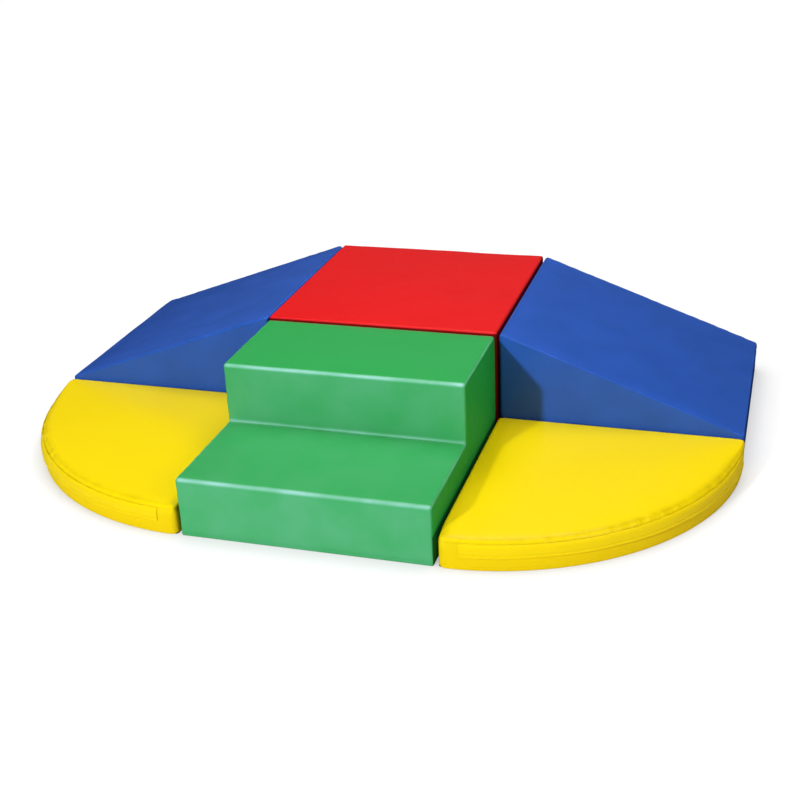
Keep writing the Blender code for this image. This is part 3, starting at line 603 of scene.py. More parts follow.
class MatForm(Form):
    """A quarter-round mat, with its square corner by the platform and its rim towards its side and -y."""

    along = 2
    ends = (0.0, MAT_TOP)
    floor_start = MAT_FLOOR_START
    channel_fade = RIM_CHANNEL_FADE
    seam_faded, seam_widened, rim_gathered = 0.80, 3.0, 1.9

    def __init__(self, side):
        self.corner = np.array((side * MAT_LOW.x, MAT_HIGH.y))
        self.side = side
        self.quiet = ((0, self.corner[0], WHOLE_WALL), (1, self.corner[1], WHOLE_WALL))

    def local(self, points):
        """Places from the square corner, towards the rim."""
        out = points.copy()
        out[:, 0] = (points[:, 0] - self.corner[0]) * self.side
        out[:, 1] = self.corner[1] - points[:, 1]
        return out

    def world(self, points):
        out = points.copy()
        out[:, 0] = self.corner[0] + points[:, 0] * self.side
        out[:, 1] = self.corner[1] - points[:, 1]
        return out

    def flat(self, points):
        return self.local(points)[:, :2]

    def solid(self, flat, height):
        return self.world(np.column_stack((flat, height)))

    def inset(self, flat, inset):
        """The nearest point of the quarter disc, inset, and whether each point is in it."""
        inset = np.broadcast_to(inset, len(flat))
        edge = MAT_RADIUS - inset
        low = np.arcsin(inset / edge)
        reach = edge * np.cos(low)
        radius = np.hypot(flat[:, 0], flat[:, 1])
        angle = np.clip(np.arctan2(flat[:, 1], flat[:, 0]), low, math.pi / 2 - low)
        arc = edge[:, None] * np.column_stack((np.cos(angle), np.sin(angle)))
        first = np.column_stack((np.clip(flat[:, 0], inset, reach), inset))
        second = np.column_stack((inset, np.clip(flat[:, 1], inset, reach)))
        choices = np.stack((arc, first, second))
        distances = np.linalg.norm(choices - flat[None], axis=2)
        near = choices[np.argmin(distances, axis=0), np.arange(len(flat))]
        return near, (flat[:, 0] > inset) & (flat[:, 1] > inset) & (radius < edge)

    def rim_near(self, flat):
        near, _ = self.inset(flat, 0)
        return near, np.linalg.norm(near - flat, axis=1)

    def end(self, points):
        """How far each point is below the top, the one end that has a rolled edge."""
        return MAT_TOP - points[:, 2], np.ones(len(points))

    def corner_distance(self, flat):
        return np.inf

    def round_share(self, flat):
        """0 at the straight edges, rising to 1 along the round one, and sooner at the corner by the steps."""
        far, near = RIM_CORNER_REACH
        corner = blend_in(np.hypot(flat[:, 0], flat[:, 1]), MAT_RADIUS - far, MAT_RADIUS - near)
        by_steps = blend_in(flat[:, 0] + RIM_CORNER_DRAW * corner, *RIM_BY_STEPS_FADE)
        return by_steps * blend_in(flat[:, 1], *RIM_BY_RAMP_FADE)

    def rolls(self, sharp):
        """The top edge is rolled wide along the rim and tight along the straight sides."""
        sizes = bpy.context.scene.climber_covers
        flat = self.flat(sharp)
        wider = (sizes.mat_roll - sizes.seam_roll) * self.round_share(flat)
        by_steps = blend_in(flat[:, 1], *MAT_CORNER_FADE)
        corner = sizes.mat_back_corner + (sizes.mat_corner - sizes.mat_back_corner) * by_steps
        return corner, sizes.seam_roll + wider

    def looks(self, points):
        flat = self.flat(points)
        share = self.round_share(flat)
        run = MAT_RADIUS * np.arctan2(flat[:, 1], flat[:, 0])
        # The mat's walls are matt, and take painted shade as a deeper colour.
        return Looks(
            1 - self.seam_faded * share, 1 + self.seam_widened * share, self.rim_gathered * share, run,
            np.zeros(len(points)), blend_in(MAT_TOP - points[:, 2], *MAT_WALL_FADE))

    def channel_place(self, sharp):
        """Whether each point is on the rim, its angle from the rim's nearer end, and how far up it is."""
        flat = self.flat(sharp)
        angle = np.arctan2(flat[:, 1], flat[:, 0])
        on_rim = np.hypot(flat[:, 0], flat[:, 1]) > MAT_RADIUS - WELD
        up = np.abs(sharp[:, 2] - MAT_CHANNEL_HEIGHT)
        return on_rim, on_rim, np.minimum(angle, math.pi / 2 - angle), up

    def pressed(self, sharp, points):
        floor = self.on_channel_floor(sharp)
        local = self.local(points)
        radius = np.hypot(local[:, 0], local[:, 1])
        sunk = CHANNEL_DEPTH + ARC_SINK + MAT_PUFF
        local[floor, :2] *= (1 - sunk / radius[floor])[:, None]
        return self.world(local)


def rolled(form, sharp):
    """The sharp form with its outline's corners rolled to one radius and its sewn ends to another.

    Also gives the way each point faces, and whether it lies on a flat panel.
    """
    corner, seam = form.rolls(sharp)
    flat = form.flat(sharp)
    edge, depth = form.rim_near(flat)
    inner = form.inner(flat, corner)
    away = flat - inner
    length = np.linalg.norm(away, axis=1)
    rounded = length > WELD
    outward = np.where(rounded[:, None], away, edge - flat)
    outward /= np.maximum(np.linalg.norm(outward, axis=1), TINY)[:, None]
    outline = np.where(rounded[:, None], inner + outward * (corner - depth)[:, None], flat)
    end, sign = form.end(sharp)
    first = np.maximum(seam - depth, 0)
    second = np.maximum(seam - end, 0)
    reach = np.maximum(np.hypot(first, second), TINY)
    share = np.where(reach > WELD, seam / reach, 1.0)
    outline = outline + outward * (first * (share - 1))[:, None]
    along = sharp[:, form.along] + sign * second * (share - 1)
    facing = form.solid(outline + outward * (first / reach)[:, None], along + sign * second / reach)
    points = form.solid(outline, along)
    on_panel = (first * second < WELD ** 2) & (length < np.maximum(corner - depth, 0) + WELD)
    return points, facing - points, on_panel


def filleted(form, points, radius):
    """Rounds the inner corner between riser and tread."""
    if not form.inner_corner:
        return points
    place, level = form.inner_corner
    centre = np.array([place - radius, level + radius])
    flat = points[:, 1:]
    near = (flat[:, 0] > centre[0]) & (flat[:, 1] < centre[1])
    near &= (flat[:, 0] < place + WELD) & (flat[:, 1] > level - WELD)
    away = flat[near] - centre
    moved = points.copy()
    moved[near, 1:] = centre + away / np.linalg.norm(away, axis=1)[:, None] * radius
    return moved


def painted_gap_shade(form, sharp, facing):
    """How much dust and scuffs darken the walls in a narrow gap: most near its opening, little deep in it."""
    towards = np.zeros(len(sharp))
    opening = form.edge_distance(sharp)
    for axis, place, height in form.quiet:
        at_wall = np.abs(sharp[:, axis] - place) < GAP_REACH
        below = 1 - blend_in(sharp[:, 2], height - GAP_TOP_FADE, height)
        towards += at_wall * below * facing[:, axis] ** 2
        opening = np.where(at_wall, np.minimum(opening, np.abs(height - sharp[:, 2])), opening)
    share = blend_in(np.sqrt(towards), *FACING_GAP) * (1 - blend_in(facing[:, 2], *FACING_FROM_GAP))
    return share * (1 - GAP_CLEARED * blend_in(opening, *GAP_DEPTH_FADE))


def neighbour_room(form, sharp):
    """1 where a wall may swell, 0 where a neighbour stands against it."""
    room = np.ones(len(sharp))
    for axis, place, height in form.quiet:
        at_wall = np.abs(sharp[:, axis] - place) < NEIGHBOUR_REACH
        low, high = NEIGHBOUR_FADE
        share = blend_in(sharp[:, 2], height + low, height + high)
        room = np.where(at_wall, np.minimum(room, share), room)
    return room


# Sharp grids of each module, with their forms. A quiet wall has a neighbour: its axis, place and height

def both_ways(low, high, rows):
    """Places at some distances in from the low one, and the same from the high one."""
    return [low + row for row in rows] + [high - row for row in reversed(rows)]


def channel_columns(low, high):
    start = CHANNEL_END + CHANNEL_RUN
    return both_ways(low, high, (CHANNEL_END, start, start + FLOOR_MARGIN))


def channel_rows(height):
    return both_ways(height, height, (-CHANNEL_HALF, -CHANNEL_FLOOR_HALF, FLOOR_MARGIN - CHANNEL_FLOOR_HALF))


def wall_heights(top, cell):
    return lines(0, top, cell, first=HEM_ROWS, extra=channel_rows(CHANNEL_HEIGHT))


def platform_grid(cell):
    low = (PLATFORM_LOW.x, PLATFORM_LOW.y, 0)
    high = (PLATFORM_HIGH.x, PLATFORM_HIGH.y, PLATFORM_TOP)
    bm = sliced_box(low, high, (
        lines(low[0], high[0], cell, extra=channel_columns(low[0], high[0])), lines(low[1], high[1], cell),
        wall_heights(PLATFORM_TOP, cell)))
    outline = [(low[1], 0), (low[1], PLATFORM_TOP), (high[1], PLATFORM_TOP), (high[1], 0)]
    quiet = ((0, low[0], WHOLE_WALL), (0, high[0], WHOLE_WALL), (1, low[1], WHOLE_WALL))
    return PrismForm(
        outline, (low[0], high[0]), 0, (low[0], high[0], high[1]), quiet, "platform_roll"), bm


def steps_grid(cell):
    low = (STEPS_LOW.x, STEPS_LOW.y, 0)
    high = (STEPS_HIGH.x, STEPS_HIGH.y, LOWER_TREAD_TOP)
    nosing = high[1] - UPPER_TREAD_DEPTH
    bm = sliced_box(low, high, (
        lines(low[0], high[0], cell, extra=channel_columns(low[0], high[0])),
        lines(low[1], nosing, cell) + [nosing] + lines(nosing, high[1], cell), []))
    behind = [
        face for face in bm.faces if face.normal.z > FACING_STRAIGHT and face.calc_center_median().y > nosing]
    raised = bmesh.ops.extrude_face_region(bm, geom=behind)["geom"]
    bmesh.ops.delete(bm, geom=behind, context="FACES")
    lifted = [item for item in raised if isinstance(item, bmesh.types.BMVert)]
    bmesh.ops.translate(bm, verts=lifted, vec=(0, 0, UPPER_TREAD_TOP - LOWER_TREAD_TOP))
    bm = in_order(bm)
    slice_at(bm, 2, wall_heights(LOWER_TREAD_TOP, cell) + lines(LOWER_TREAD_TOP, UPPER_TREAD_TOP, cell))
    outline = [
        (low[1], 0), (low[1], LOWER_TREAD_TOP), (nosing, LOWER_TREAD_TOP),
        (nosing, UPPER_TREAD_TOP), (high[1], UPPER_TREAD_TOP), (high[1], 0)]
    quiet = ((1, high[1], WHOLE_WALL), (0, low[0], MAT_TOP), (0, high[0], MAT_TOP))
    return PrismForm(
        outline, (low[0], high[0]), 0, (low[0], high[0], high[1]), quiet, "nosing_roll",
        inner_corner=(nosing, LOWER_TREAD_TOP)), bm


def ramp_grid(cell, side):
    near, far = RAMP_LOW.x, RAMP_HIGH.x
    front, back = RAMP_LOW.y, RAMP_HIGH.y
    bm = sliced_box((near, front, 0), (far, back, RAMP_TOP), (
        lines(near, far, cell, extra=channel_columns(near, far)), lines(front, back, cell),
        wall_heights(RAMP_TOP, cell)))
    level = CHANNEL_HEIGHT + CHANNEL_HALF
    fall = (RAMP_TOP - TOE_TOP) / (far - near)
    for vertex in bm.verts:
        if vertex.co.z > level + WELD:
            top = RAMP_TOP - fall * (vertex.co.x - near)
            vertex.co.z = level + (vertex.co.z - level) * (top - level) / (RAMP_TOP - level)
    outline = [(near, 0), (near, RAMP_TOP), (far, TOE_TOP), (far, 0)]
    reach = (near, far)
    if side < 0:
        bmesh.ops.scale(bm, vec=(-1, 1, 1), verts=bm.verts[:])
        bmesh.ops.reverse_faces(bm, faces=bm.faces[:])
        outline = [(-place, level) for place, level in reversed(outline)]
        reach = (-far, -near)
    quiet = ((0, side * near, WHOLE_WALL), (1, front, MAT_TOP))
    return PrismForm(outline, (front, back), 1, (*reach, back), quiet, "ramp_roll"), bm


def quarter_round(u, v):
    """Maps a unit square to a quarter disc whose rings keep the square's columns."""
    if max(u, v) < TINY:
        return 0.0, 0.0
    share = v / u / 2 if v < u else 1 - u / v / 2
    angle = share * math.pi / 2
    reach = MAT_RADIUS * max(u, v)
    return reach * math.cos(angle), reach * math.sin(angle)


def mat_grid(cell, side):
    form = MatForm(side)
    fine = [reach / MAT_RADIUS for reach in FINE]
    marks = [angle / (math.pi / 4) for angle in (
        MAT_CHANNEL_START, MAT_FLOOR_START, MAT_FLOOR_START + FLOOR_MARGIN / MAT_RADIUS)]
    cuts = lines(0, 1, cell / MAT_RADIUS, first=fine, last=fine, extra=marks)
    rows = channel_rows(MAT_CHANNEL_HEIGHT)
    heights = lines(0, MAT_TOP, cell * MAT_ROW_SHARE, first=HEM_ROWS, last=FINE[:4], extra=rows)
    bm = sliced_box((0, 0, 0), (1, 1, MAT_TOP), (cuts, cuts, heights))
    for vertex in bm.verts:
        x, y = quarter_round(vertex.co.x, vertex.co.y)
        vertex.co = (form.corner[0] + x * side, form.corner[1] - y, vertex.co.z)
    if side > 0:
        bmesh.ops.reverse_faces(bm, faces=bm.faces[:])
    return form, bm


# Covers and cores

def finish_piece(piece, slot, body=None, replaced=None, fill=None):
    """Gives a piece the finish of its slot, and says what carries it and which node it stands for."""
    material = slot_material(slot)
    if piece.data.materials:
        for index in range(len(piece.data.materials)):
            piece.data.materials[index] = material
    else:
        piece.data.materials.append(material)
    if body:
        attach(piece, body)
    if replaced:
        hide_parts(replaced)


def swell_room(form, sharp, facing, sizes):
    """How far each point may swell."""
    top = blend_in(facing[:, 2], *FACING_UP)
    crown = sizes.mat_crown if isinstance(form, MatForm) else sizes.top_crown
    room = top * crown + (1 - top) * sizes.wall_crown
    foot = blend_in(sharp[:, 2], *FOOT_FADE)
    return room * neighbour_room(form, sharp) * form.clear_of_channel(sharp) * foot


def simulate_swell(piece, pinned, facing, room, pressure):
    """Swells the panels with a cloth simulation, and keeps every point within its room."""
    start = coordinates(piece.data)
    group = piece.vertex_groups.new(name="pinned")
    group.add([int(index) for index in np.flatnonzero(pinned)], 1.0, "REPLACE")
    cloth = piece.modifiers.new("Swell", "CLOTH")
    settings = cloth.settings
    settings.vertex_group_mass = group.name
    for name, value in CLOTH_SETTINGS.items():
        setattr(settings, name, value)
    settings.uniform_pressure_force = pressure
    settings.effector_weights.gravity = 0
    cloth.collision_settings.use_collision = False
    cloth.point_cache.frame_end = SWELL_FRAMES
    scene = bpy.context.scene
    for number in range(1, SWELL_FRAMES + 1):
        scene.frame_set(number)
    graph = bpy.context.evaluated_depsgraph_get()
    moved = coordinates(piece.evaluated_get(graph).data) - start
    piece.modifiers.remove(cloth)
    piece.vertex_groups.remove(group)
    scene.frame_set(1)
    lift = (moved * facing).sum(axis=1)
    full = np.percentile(lift[~pinned], FULL_SWELL_PERCENT)
    if full < WELD:
        raise RuntimeError(f"{piece.name} did not swell")
    return start + facing * (room * np.clip(lift / full, 0, 1))[:, None]


def subdivided(piece):
    """Replaces the piece's mesh by one subdivision of it."""
    modifier = piece.modifiers.new("Finer", "SUBSURF")
    modifier.levels = modifier.render_levels = 1
    graph = bpy.context.evaluated_depsgraph_get()
    finer = bpy.data.meshes.new_from_object(piece.evaluated_get(graph))
    piece.modifiers.remove(modifier)
    old, piece.data = piece.data, finer
    bpy.data.meshes.remove(old)
    finer.name = piece.name


def sewn_detail(form, piece, sizes, seed):
    """Sinks the seams and hem, and raises the puckers and slow waves along the vinyl."""
    mesh = piece.data
    flat = np.empty(len(mesh.vertices) * 3, dtype=np.float32)
    mesh.attributes["form"].data.foreach_get("vector", flat)
    sharp = flat.reshape(-1, 3).astype(float)
    points = coordinates(mesh)
    _, facing, _ = rolled(form, sharp)
    distance, seam_point = form.seam(sharp)
    looks = form.looks(sharp)
    groove = np.exp(-(distance / sizes.seam_width / looks.seam_spread) ** 2) * looks.seam_share
    hem = np.exp(-((sharp[:, 2] - HEM_SEAM) / HEM_SEAM_WIDTH) ** 2)
    fade = np.exp(-(distance / sizes.pucker_reach) ** 2)
    pulls = np.tanh(PUCKER_SHARPNESS * ripples(seam_point, sizes.pucker_length, seed))
    patchy = blend_in(ripples(seam_point, PUCKER_PATCH, seed + 1), *PUCKER_PATCH_SPAN)
    pucker = pulls * fade * (PUCKER_LEAST + patchy + looks.gathered) * sizes.pucker_depth
    open_wall = form.clear_of_channel(sharp) * blend_in(sharp[:, 2], *OPEN_WALL_FADE)
    room = neighbour_room(form, sharp)
    waves = ripples(points, sizes.wave_length, seed + 2) * sizes.wave_depth * blend_in(distance, *WAVE_FADE)
    lift = (pucker + waves * room) * open_wall * np.maximum(room, QUIET_WALL_SHARE)
    lift -= sizes.seam_depth * groove * open_wall + HEM_SEAM_DEPTH * hem
    tuck = (1 - blend_in(sharp[:, 2], *TUCK_FADE)) * HEM_TUCK
    set_coordinates(mesh, points + facing * (lift - tuck)[:, None])
    rolled_over = (2 * np.maximum(facing[:, 2], 0) * np.hypot(facing[:, 0], facing[:, 1])) ** 2
    # The edge and fold layers carry painted light along rolled edges and on rolls by the seams, and on some
    # panels; the gap layer carries painted shade in narrow gaps, and the matt layer painted shade on the
    # walls.
    layers = {
        "seam": np.maximum(groove * open_wall / looks.seam_spread, HEM_SHOWS * hem),
        "edge": rolled_over * blend_in(distance, *EDGE_LIGHT_FADE) + looks.drawn,
        "fold": rolled_over * fade, "pull": rolled_over * fade * looks.gathered, "run": looks.run,
        "gap": painted_gap_shade(form, sharp, facing), "matt": looks.matt}
    for name, values in layers.items():
        point_layer(mesh, name, values)
    mesh.attributes.remove(mesh.attributes["form"])


def build_cover(module, form, bm, slot, fill, seed):
    """A sewn cover from its sharp grid: rolled, swelled, subdivided, seamed and given its wall."""
    sizes = bpy.context.scene.climber_covers
    bm.normal_update()
    bottom = [face for face in bm.faces if face.normal.z < -FACING_STRAIGHT]
    bmesh.ops.delete(bm, geom=bottom, context="FACES")
    mesh = mesh_from(module + "_sewn_cover", bm)
    sharp = coordinates(mesh)
    points, facing, on_panel = rolled(form, sharp)
    pressed = form.pressed(sharp, filleted(form, points, sizes.inner_fillet))
    set_coordinates(mesh, pressed)
    mesh.attributes.new("form", "FLOAT_VECTOR", "POINT").data.foreach_set(
        "vector", sharp.astype(np.float32).ravel())
    piece = link(mesh.name, mesh)
    room = swell_room(form, sharp, facing, sizes)
    pinned = ~on_panel | (room < LEAST_ROOM) | form.near_channel(sharp, PINNED_REACH)
    pinned |= sharp[:, 2] < PINNED_FOOT
    swelled = simulate_swell(piece, pinned, facing, room, sizes.pressure)
    set_coordinates(mesh, swelled)
    subdivided(piece)
    sewn_detail(form, piece, sizes, seed)
    piece.data.shade_smooth()
    wall = piece.modifiers.new("Wall", "SOLIDIFY")
    wall.thickness = sizes.wall
    wall.offset = -1
    finish_piece(piece, slot, module, module + "_cover", fill)


def build_core(module, form, bm):
    """The foam core inside a cover, a little smaller and closed underneath."""
    mesh = mesh_from(module + "_foam_block", bm)
    sharp = coordinates(mesh)
    points, facing, _ = rolled(form, sharp)
    points = form.pressed(sharp, points - facing * bpy.context.scene.climber_covers.core_gap)
    points[:, 2] = np.maximum(points[:, 2], CORE_FOOT)
    set_coordinates(mesh, points)
    mesh.shade_smooth()
    finish_piece(link(mesh.name, mesh), "foam", module, module + "_foam_core", 1.0)


# Zips, flaps and stitches

def zip_runs(module):
    """A zip's straight runs, each as start, end and outward direction, and its teeth's height."""
    points = coordinates(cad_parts[module + "_zip_teeth"].data)
    low, high = points.min(axis=0), points.max(axis=0)
    middle = (low[2] + high[2]) / 2
    word, _, kind = module.partition("_")
    if kind != "mat":
        start, end = np.array([low[0], low[1], middle]), np.array([high[0], low[1], middle])
        return [(start, end, np.array([0.0, 1.0, 0.0]))], high[1] - low[1]
    form = MatForm(SIDES[word])
    local = form.local(points)
    radius = np.hypot(local[:, 0], local[:, 1])
    turns = np.unique(np.round(np.arctan2(local[:, 1], local[:, 0]), 4))
    ring = form.world(np.column_stack((
        radius.min() * np.cos(turns), radius.min() * np.sin(turns), np.full(len(turns), middle))))
    runs = []
    for start, end in zip(ring[:-1], ring[1:]):
        outward = (start + end) / 2 - np.array([*form.corner, middle])
        runs.append((start, end, outward / np.linalg.norm(outward)))
    return runs, radius.max() - radius.min()


def places_along(runs, pitch):
    """Evenly spaced places along joined straight runs, each as place, direction and outward direction."""
    carried = pitch / 2
    for start, end, outward in runs:
        length = np.linalg.norm(end - start)
        along = (end - start) / length
        while carried < length:
            yield start + along * carried, along, outward
            carried += pitch
        carried -= length


def tooth_points(zips, half, height):
    """One tooth's points: along the zip, across it from the tape to the tip, and up."""
    right = [(zips.tooth_length / 2 * wide, half - (half + zips.tooth_reach) * reach)
             for wide, reach in TOOTH_OUTLINE_SHARES]
    outline = np.array(right + [(-along, across) for along, across in reversed(right)])
    centre = outline.mean(axis=0)
    layers = [np.column_stack((centre + (outline - centre) * share, np.full(len(outline), height * level)))
              for level, share in TOOTH_LAYER_SHARES]
    return np.concatenate(layers), len(outline)


def ring_faces(rings, count):
    """Faces of a closed body made of rings of points."""
    faces = [tuple(reversed(range(count))), tuple(range((rings - 1) * count, rings * count))]
    for base in range(0, (rings - 1) * count, count):
        for corner in range(count):
            after = (corner + 1) % count
            faces.append((base + corner, base + after, base + count + after, base + count + corner))
    return faces


def repeated(name, body, faces, placings):
    """One mesh of many copies of a small body, each placed by its origin and three directions."""
    points, polygons = [], []
    for origin, axes in placings:
        base = len(points) * len(body)
        points.append(origin + body @ axes)
        turned = np.linalg.det(axes) < 0
        for face in faces:
            polygons.append(tuple(base + corner for corner in (reversed(face) if turned else face)))
    return link(name, solid_mesh(name, np.concatenate(points), polygons))


def build_teeth(module):
    """Two rows of moulded teeth that lock into each other."""
    zips = bpy.context.scene.climber_zips
    runs, height = zip_runs(module)
    low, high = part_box(module + "_zip_teeth")
    body, count = tooth_points(zips, (high.z - low.z) / 2, height)
    placings = []
    for number, (origin, along, outward) in enumerate(places_along(runs, zips.pitch / 2)):
        up = np.array([0.0, 0.0, 1.0 if number % 2 else -1.0])
        placings.append((origin, np.array([along, up, outward])))
    piece = repeated(module + "_zip_chain", body, ring_faces(len(TOOTH_LAYER_SHARES), count), placings)
    finish_piece(piece, "zip_teeth", module, module + "_zip_teeth")


def build_stitches(name, module, runs, slot):
    """A row of short stitches along joined straight runs."""
    zips = bpy.context.scene.climber_zips
    half = zips.thread / 2
    turns = np.arange(STITCH_SIDES) / STITCH_SIDES * 2 * math.pi
    body = np.concatenate([
        np.column_stack((
            np.full(STITCH_SIDES, share * zips.stitch), half * wide * np.cos(turns),
            half * wide * np.sin(turns) + half * rise))
        for share, wide, rise in STITCH_STATION_SHARES])
    placings = []
    for origin, along, outward in places_along(runs, zips.stitch + zips.stitch_gap):
        placings.append((origin, np.array([along, np.cross(outward, along), outward])))
    piece = repeated(name, body, ring_faces(len(STITCH_STATION_SHARES), STITCH_SIDES), placings)
    piece.data.shade_smooth()
    finish_piece(piece, slot, module)


def strip_runs(name, module):
    """The sewn border of a hook or loop strip, on the face that looks away from its module."""
    zips = bpy.context.scene.climber_zips
    low, high = (np.array(corner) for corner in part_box(name))
    cover_low, cover_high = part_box(module + "_cover")
    thin = int(np.argmin(high - low))
    sign = 1.0 if (low + high)[thin] > (cover_low + cover_high)[thin] else -1.0
    outward = np.zeros(3)
    outward[thin] = sign
    face = high[thin] if sign > 0 else low[thin]
    low, high = low + zips.border, high - zips.border
    corners = []
    for across, up in ((low, low), (high, low), (high, high), (low, high)):
        corner = np.empty(3)
        corner[[thin, 1 - thin, 2]] = face - sign * zips.thread * STITCH_SINK_SHARE, across[1 - thin], up[2]
        corners.append(corner)
    return [(start, end, outward) for start, end in zip(corners, corners[1:] + corners[:1])]


def flap_profile(zips, low, high):
    """The flap's section as heights and distances off the mat: down outside, round the hem, up inside."""
    thick, hem = zips.flap, low + zips.flap_hem
    middle, proud, seat = (high + hem) / 2, thick * FLAP_HEM_SHARE, FLAP_SEAT
    return np.array((
        (high, thick * 0.10), (high - 0.0020, thick * 0.30), (high - 0.0050, thick * 0.62),
        (high - 0.0085, thick * 0.88), (middle, thick), (hem + 0.0030, thick), (hem + 0.0009, thick),
        (hem, thick * 0.62), (hem - 0.0009, thick * 1.05), (hem - 0.0026, proud), (low + 0.0020, proud),
        (low + 0.0006, proud * 0.90), (low, proud * 0.55), (low + 0.0005, proud * 0.22), (low + 0.0030, seat),
        (hem, seat), (middle, seat), (high - 0.0024, 0.0), (high - 0.0006, 0.0)))


def build_flap(word):
    """The strip of vinyl over a mat's zip: sewn along its top, with a folded hem that stands off a little."""
    zips = bpy.context.scene.climber_zips
    module, side = word + "_mat", SIDES[word]
    form = MatForm(side)
    low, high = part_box(module + "_zip_flap")
    profile = flap_profile(zips, low.z, high.z + FLAP_RISE)
    count = len(profile)
    turns = np.linspace(MAT_CHANNEL_START, math.pi / 2 - MAT_CHANNEL_START, FLAP_COLUMNS)
    angle, (height, offset) = np.repeat(turns, count), np.tile(profile, (FLAP_COLUMNS, 1)).T
    sharp = form.world(np.column_stack((MAT_RADIUS * np.cos(angle), MAT_RADIUS * np.sin(angle), height)))
    points, facing, _ = rolled(form, sharp)
    along = np.column_stack((angle * MAT_RADIUS, np.zeros(len(angle)), np.zeros(len(angle))))
    hanging = 1 - blend_in(height, low.z, low.z + FLAP_HANGS)
    from_end = np.minimum(angle, math.pi / 2 - angle)
    tapered = blend_in(from_end, MAT_CHANNEL_START, MAT_CHANNEL_START + FLAP_TAPER_ANGLE)
    lift = zips.flap_lift * hanging * tapered * (0.75 + 0.45 * ripples(along, FLAP_WAVE, FLAP_SEED + side))
    pulls = FLAP_PULL * ripples(along, FLAP_PULL_LENGTH, FLAP_PULL_SEED + side) * (1 - hanging)
    points = points + facing * (FLAP_CLEARANCE + offset + np.maximum(lift, 0) + pulls)[:, None]
    faces = ring_faces(FLAP_COLUMNS, count)
    if side > 0:
        faces = [tuple(reversed(face)) for face in faces]
    mesh = solid_mesh(module + "_flap", points, faces)
    hem = low.z + zips.flap_hem
    point_layer(mesh, "seam", np.exp(-((height - hem) / FLAP_STITCH_WIDTH) ** 2))
    point_layer(mesh, "matt", np.full(len(points), FLAP_MATT_AND_SHADED))
    mesh.shade_smooth()
    finish_piece(link(mesh.name, mesh), "yellow_vinyl", module, module + "_zip_flap")
    row = next(number for number, (up, _) in enumerate(profile) if up <= hem + WELD)
    sewn, outward = (values.reshape(FLAP_COLUMNS, count, 3)[:, row] for values in (points, facing))
    runs = list(zip(sewn[:-1], sewn[1:], outward[:-1]))
    build_stitches(module + "_flap_stitching", module, runs, "yellow_vinyl")


# Materials

class Wiring:
    """Adds and joins the nodes of one node tree."""

    def __init__(self, tree):
        self.tree = tree

    def node(self, kind, options=None, **values):
        """A node, with its options and its input values or links. An underscore in a name is a space."""
        node = self.tree.nodes.new(kind if kind.startswith("Node") else "ShaderNode" + kind)
        for option, value in (options or {}).items():
            setattr(node, option, value)
        for name, value in values.items():
            self.feed(node.inputs[name.replace("_", " ")], value)
        return node

    def feed(self, socket, value):
        if isinstance(value, bpy.types.NodeSocket):
            self.tree.links.new(value, socket)
        else:
            socket.default_value = value

    def fed(self, kind, values, options=None):
        """A node whose inputs take the values in their order."""
        node = self.node(kind, options)
        for socket, value in zip(node.inputs, values):
            self.feed(socket, value)
        return node.outputs[0]

    def math(self, operation, *values):
        return self.fed("Math", values, {"operation": operation})

    def plus(self, *values):
        return functools.reduce(lambda first, second: self.math("ADD", first, second), values)

    def times(self, *values):
        return functools.reduce(lambda first, second: self.math("MULTIPLY", first, second), values)

    def spread(self, value, low, high, to_low, to_high):
        """Maps a value from one span to another, kept within it."""
        return self.fed("MapRange", (value, low, high, to_low, to_high))

    def mix(self, share, first, second):
        """A mix of two colours."""
        node = self.node("Mix", {"data_type": "RGBA"})
        for socket, value in zip((node.inputs[0], node.inputs[6], node.inputs[7]), (share, first, second)):
            self.feed(socket, value)
        return node.outputs[2]

    def join(self, kind, first, second, **values):
        """A node that joins two shaders."""
        node = self.node(kind, **values)
        for socket, shader in zip(list(node.inputs)[-2:], (first, second)):
            self.feed(socket, shader.outputs[0])
        return node

    def place(self):
        """Where on the piece a point is, in metres."""
        return self.node("TexCoord").outputs["Object"]

    def pace(self, size):
        """How many of a size, a number or a socket, go into a metre."""
        return self.math("DIVIDE", 1.0, size) if isinstance(size, bpy.types.NodeSocket) else 1 / size

    def noise(self, size, detail=2.0, place=None):
        """Soft noise of about one size, in metres."""
        return self.node(
            "TexNoise", Scale=self.pace(size), Detail=detail, Vector=place or self.place()).outputs["Fac"]

    def cells(self, size, randomness=1.0):
        """How far a point is from the middle of its cell."""
        return self.node("TexVoronoi", Scale=self.pace(size), Randomness=randomness,
                         Vector=self.place()).outputs["Distance"]

    def attribute(self, name):
        return self.node("Attribute", {"attribute_name": name}).outputs["Fac"]


